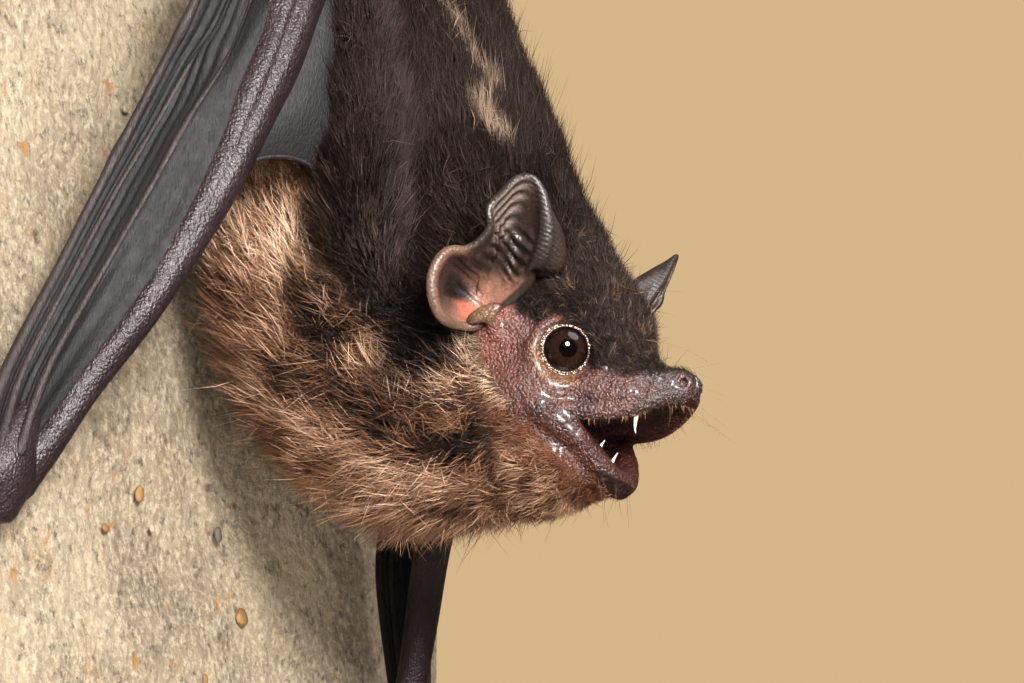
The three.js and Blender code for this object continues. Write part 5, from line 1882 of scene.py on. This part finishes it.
def build_coat(points, quads, material):
    """The coat: the dark cape, the loose fluff of the crown and brow, and the buff underside."""
    density = coat_density(points)
    t, w, _ = places(points)
    below = under(points, t, w)
    upper = smooth(8.8, 9.6, t) * (1 - below)
    parts = {"cape": (1 - below) * (1 - 0.75 * upper), "crown": upper + 0.1 * (1 - below), "buff": below}
    for name, (count, knots, pieces, size, pull, loose, curly) in COAT.items():
        root, normal = scatter(points, quads, density * np.clip(parts[name], 0, 1), count)
        t, w, h = places(root)
        middle, chance = clumps(root, size, 5)
        wild = np.clip(0.55 * rng.random(count) + 0.45 * chance, 0, 1)
        swirl = np.stack([noise(root, 1.3, 50 + i) + 0.5 * noise(root, 0.6, 60 + i) for i in range(3)], 1)
        lie = flow(root, normal, t, w) + loose * swirl + rng.normal(0, 0.08 + 0.34 * loose, (count, 3))
        lie = along_skin(lie, normal)
        length, lift = coat_length(root, t, w, h, name == "buff")
        guard = rng.random(count) < 0.02  # long hairs that stand out
        length = length * rng.uniform(0.75, 1.2, count) * np.where(guard, 1.45, 1) * (0.85 + 0.3 * chance)
        lie = along_skin(lie + pull * (middle - root) / length[:, None], normal)
        lift = lift + rng.normal(0, 0.09, count) + 0.15 * noise(root, 0.8, 70) + guard * 0.25
        curl = rng.normal(0, curly, count)
        width = np.clip(0.026 + 0.012 * length, 0.034, 0.062)
        width = width * rng.uniform(0.8, 1.25, count) * np.where(guard, 0.75, 1)
        root_tint, tip_tint, _, _ = coat_colours(root + 0.65 * length[:, None] * lie, wild)
        tufts = (root, normal, lie, length, lift, curl, width, root_tint, tip_tint)
        uv = coat_uv(root, t, w)
        for i, chosen in enumerate(np.array_split(rng.permutation(count), pieces)):
            rows, faces, tint, spots = strands(*(values[chosen] for values in tufts), knots, uv[chosen])
            make(f"coat_{name}_{i + 1}", rows, faces, [material], (), tint, spots)


def coat_length(root, t, w, h, buff):
    """Length in mm and lift in radians of the coat at its roots."""
    f, v = h[:, 1], h[:, 2]
    row = [0, 1.5, 6, 8, 9.2, 10.2, 11.5, 13, 15]
    if buff:
        length = np.interp(t, row, [1.6, 2.6, 3.5, 3.4, 2.5, 1.8, 1.4, 1.1, 0.7])
        lift = np.interp(t, row, [0.35, 0.45, 0.68, 0.75, 0.62, 0.5, 0.45, 0.4, 0.4])
        lift = lift * (0.6 + 0.4 * smooth(0.1, -0.6, w))
        length = length * (0.75 + 0.25 * smooth(0.1, -0.6, w))
    else:
        length = np.interp(t, row, [1.3, 2.2, 2.4, 2.2, 1.9, 1.5, 1.15, 1.0, 0.9])
        lift = np.interp(t, row, [0.25, 0.28, 0.28, 0.32, 0.45, 0.6, 0.6, 0.45, 0.35])
    gap = face_gap(h)
    short = (0.5 * smooth(-2.2, -0.1, gap) + 0.2 * smooth(-0.1, 1.0, gap)) * (t > HEAD_ROW)
    muzzle = smooth(0.5, 2.0, f) * smooth(-1.6, -0.8, v)
    length = length * (1 - short * (1 - 0.6 * muzzle))
    limb = (np.abs(root[:, 0]) > 10.4) & (root[:, 2] > 60)
    return np.where(limb, length * 0.45, length), lift


# Roots of the long hairs on one side: x, f, v.
WHISKERS = (
    (0.9, 5.2, 0.5), (1.3, 4.6, 0.5), (0.6, 4.2, 0.65), (1.5, 3.6, 0.7), (1.9, 5.0, -0.6), (2.3, 4.2, -1.0),
    (1.2, 2.4, 2.4), (2.4, 0.6, 4.3), (1.0, 0.6, 5.2), (2.8, 3.4, -1.6), (0.9, 5.9, -0.9), (1.6, 5.4, -1.4),
)
CHIN_HAIRS = ((1.0, 3.4, -7.0), (1.9, 2.8, -7.2), (0.5, 2.6, -7.5), (2.4, 2.0, -7.2))
LIP_HAIRS = 110
WHISKER_TONE, CHIN_TONE, LIP_TONES = rgb(112, 84, 56), rgb(90, 66, 50), (rgb(150, 110, 84), rgb(58, 42, 36))


def whiskers(side):
    """One side's hairs, each as root, way, length, width and colour."""
    rows = []
    for x, f, v in WHISKERS:
        way = unit(np.array([side * rng.uniform(0.5, 1.2), rng.uniform(0.5, 1.0), rng.uniform(-0.3, 0.7)]))
        if v < 0:
            way[2] = -abs(way[2]) - 0.15
        root = np.array([side * x, f, v]) - way * 0.4
        rows.append((root, way, rng.uniform(3.0, 5.5), 0.034, WHISKER_TONE))
    for x, f, v in CHIN_HAIRS:
        way = unit(np.array([side * rng.uniform(-0.2, 0.6), rng.uniform(-0.2, 0.6), -1.0]))
        root = np.array([side * x, f, v]) - way * 0.3
        rows.append((root, way, rng.uniform(1.6, 3.0), 0.034, CHIN_TONE))
    for _ in range(LIP_HAIRS):
        x, f, v = spline(UPPER_LIP, np.array([rng.uniform(0.12, 0.98)]))[0]
        way = unit(np.array([side * rng.uniform(-0.2, 0.9), rng.uniform(0.0, 0.6), rng.uniform(-1.2, -0.5)]))
        tone = LIP_TONES[0] if rng.random() < 0.5 else LIP_TONES[1]
        rows.append((np.array([-side * x, f, v - 0.2]), way, rng.uniform(0.5, 1.2), 0.028, tone))
    return rows


def build_whiskers(material):
    """Long hairs on the muzzle, brow and chin, and the short fringe of the upper lip."""
    hairs = [hair for _, side in SIDES for hair in whiskers(side)]
    root, spread, length, width, tint = (np.array(values) for values in zip(*hairs))
    n = len(hairs)
    way = spread[:, :1] * [1, 0, 0] + spread[:, 1:2] * FORWARD + spread[:, 2:3] * CROWN
    lie = unit(np.cross(way, unit(rng.normal(size=(n, 3)))))
    lift, curl = np.full(n, math.pi / 2 - 0.15), rng.normal(0, 0.15, n)
    rows, faces, tints, _ = strands(head_points(root), way, lie, length, lift, curl, width, tint, tint,
                                    (0.0, 0.25, 0.5, 0.75), np.tile([0.5, 0.5], (n, 1)))
    make("whiskers", rows, faces, [material], (), tints)


# ---------------------------------------------------------------- slab and stand

SLAB = dict(half=34.0, bottom=-14.0, top=92.0, thick=8.0)  # its face is at Y = 0
SLAB_STEP = 0.8
SLAB_ROUND = 1.2  # radius of its edges
SLAB_INSET = (0.4, 0.35, 0.4)  # how far its smooth form stays inside those sizes
SLAB_ROUGH = ((0.35, 9, 80), (0.22, 3.6, 81), (0.14, 1.7, 82))  # each layer's height, lumps and seed
PEBBLES = 80
PEBBLE_TONES = (rgb(112, 100, 84), rgb(72, 64, 55), rgb(118, 88, 52), rgb(146, 136, 118))


def slab_distance(x, y, z):
    """A rounded block with a rough cement surface."""
    middle = (0, SLAB["thick"] / 2, (SLAB["bottom"] + SLAB["top"]) / 2)
    half = (SLAB["half"], SLAB["thick"] / 2, (SLAB["top"] - SLAB["bottom"]) / 2)
    grid = np.stack(np.broadcast_arrays(x, y, z), -1)
    rough = sum(high * noise(grid, lump, seed) for high, lump, seed in SLAB_ROUGH)
    sides = zip((x, y, z), middle, half, SLAB_INSET)
    d = [np.abs(place - centre) - (size - inset - SLAB_ROUND) for place, centre, size, inset in sides]
    out = np.sqrt(sum(np.maximum(k, 0) ** 2 for k in d))
    inside = np.minimum(np.maximum(np.maximum(d[0], d[1]), d[2]), 0)
    return (out + inside - SLAB_ROUND - rough).astype(np.float32)


def build_slab():
    low = (-SLAB["half"] - 1, -1.6, SLAB["bottom"] - 1)
    high = (SLAB["half"] + 1, SLAB["thick"] + 1, SLAB["top"] + 1)
    field = Field(low, high, SLAB_STEP)
    field.fill(slab_distance)
    points, quads = field.surface()
    make("slab", points, outward(points, quads), [cement_material()], ["perch_wall"])


def build_pebbles():
    """Small stones set in the slab's face."""
    half, low, high = SLAB["half"] - 2, SLAB["bottom"] + 2, SLAB["top"] - 2
    parts, tints = [], []
    for i in range(PEBBLES):
        x, z = rng.uniform(-half, half), rng.uniform(low, high)
        size = rng.uniform(0.15, 0.42) * (2.0 if rng.random() < 0.05 else 1)
        points, quads = ball(np.array([0, 0, 0]), 1.0, 12, 9)
        squash = np.array([rng.uniform(0.7, 1.4), 0.5, rng.uniform(0.7, 1.4)]) * size
        points = points * squash * (1 + 0.3 * noise(points + i * 3.1, 0.9, 83)[:, None])
        parts.append((points + [x, 0.2, z], quads))
        tints.append(np.tile(PEBBLE_TONES[rng.integers(4)], (len(points), 1)))
    points, faces = joined(parts)
    make("pebbles", points, faces, [stone_material()], (), np.concatenate(tints))


def paint_stand():
    """The stand keeps its solids' own shapes and gets a coat of paint."""
    paint = stand_material()
    for name in ["stand_base"] + pairs("stand_rod"):
        node = bpy.data.objects[name]
        node.data.materials.clear()
        node.data.materials.append(paint)


# ---------------------------------------------------------------- the set

FLOOR_HALF, FLOOR_POINTS = 3.0, 16  # metres from its middle to its edge, and points along each side
# The lights, all aimed at the head: name, place and size in metres, watts, colour, and whether they glint.
LIGHTS = (
    ("key", (-0.22, -0.208, 0.122), 0.09, 3.7, (1, 0.97, 0.94), True),
    ("sky", (-0.05, -0.30, 0.40), 0.30, 1.3, (0.98, 0.98, 1), True),
    ("side", (-0.42, -0.02, 0.10), 0.25, 0.3, (0.96, 0.97, 1), False),
    ("far_side", (0.34, -0.06, 0.12), 0.30, 0.9, (0.98, 0.97, 1), False),
    ("behind", (0.12, 0.36, 0.20), 0.30, 1.2, (0.98, 0.97, 1), False),
)
STUDIO_LIGHT, STUDIO_SEEN = 0.11, 0.68  # how strongly the studio lights the model, and how bright it looks
CAMERA_PLACE = Vector((-0.19278533, -0.11529795, -0.0629368))  # metres from the wrists' height on the wall
CAMERA_TURN, CAMERA_TILT = math.radians(64), math.radians(19.5)
CAMERA_LENS, CAMERA_SENSOR = 133.35, 36


def placed(name, data, where, aim):
    """An object in the scene that looks along aim."""
    thing = bpy.data.objects.new(name, data)
    bpy.context.scene.collection.objects.link(thing)
    thing.location = where
    thing.rotation_mode = "QUATERNION"
    thing.rotation_quaternion = aim.to_track_quat("-Z", "Y")
    return thing


def build_floor():
    steps = np.linspace(-FLOOR_HALF, FLOOR_HALF, FLOOR_POINTS)
    X, Y = np.meshgrid(steps, steps, indexing="ij")
    points = np.stack([X.ravel(), Y.ravel(), np.full(X.size, CAD_BOX[0].z)], 1)
    mesh = bpy.data.meshes.new("floor")
    mesh.from_pydata(points.tolist(), [], grid_quads(FLOOR_POINTS, FLOOR_POINTS, False, True).tolist())
    mesh.materials.append(floor_material())
    floor = bpy.data.objects.new("floor", mesh)
    bpy.context.scene.collection.objects.link(floor)
    floor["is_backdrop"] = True
    floor.visible_glossy = False


def build_lights():
    head = Vector(ORIGIN) + Vector((0, -HEAD_OUT * MM, HEAD_UP * MM))
    for name, where, size, power, colour, glints in LIGHTS:
        light = bpy.data.lights.new(name, "AREA")
        light.shape, light.size, light.energy, light.color = "DISK", size, power, colour
        placed(name, light, where, head - Vector(where)).visible_glossy = glints


def build_studio():
    """A pale warm studio, which lights the model less than it shows."""
    world = bpy.data.worlds.new("studio")
    world.use_nodes = True
    tree = world.node_tree
    background = tree.nodes["Background"]
    background.inputs["Color"].default_value = (*rgb(252, 216, 164), 1)
    seen = tree.nodes.new("ShaderNodeMapRange")
    seen.inputs["To Min"].default_value, seen.inputs["To Max"].default_value = STUDIO_LIGHT, STUDIO_SEEN
    tree.links.new(tree.nodes.new("ShaderNodeLightPath").outputs["Is Camera Ray"], seen.inputs["Value"])
    tree.links.new(seen.outputs["Result"], background.inputs["Strength"])
    bpy.context.scene.world = world
    bpy.context.scene.view_settings.view_transform = "Standard"


def build_camera():
    data = bpy.data.cameras.new("camera")
    data.lens, data.sensor_width, data.clip_start = CAMERA_LENS, CAMERA_SENSOR, 0.001
    flat = math.cos(CAMERA_TILT)
    aim = Vector((math.sin(CAMERA_TURN) * flat, math.cos(CAMERA_TURN) * flat, math.sin(CAMERA_TILT)))
    bpy.context.scene.camera = placed("camera", data, ORIGIN + CAMERA_PLACE, aim)


def main():
    points, quads = build_skin()
    build_ears()
    build_eyes()
    build_beads()
    build_teeth()
    leather = wing_material()
    build_hind(leather, build_wings(leather))
    hair = hair_material()
    build_coat(points, quads, hair)
    build_whiskers(hair)
    build_slab()
    build_pebbles()
    paint_stand()
    build_floor()
    build_lights()
    build_studio()
    build_camera()
    [[list(corner) for corner in box] for box in (CAD_BOX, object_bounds())]


main()
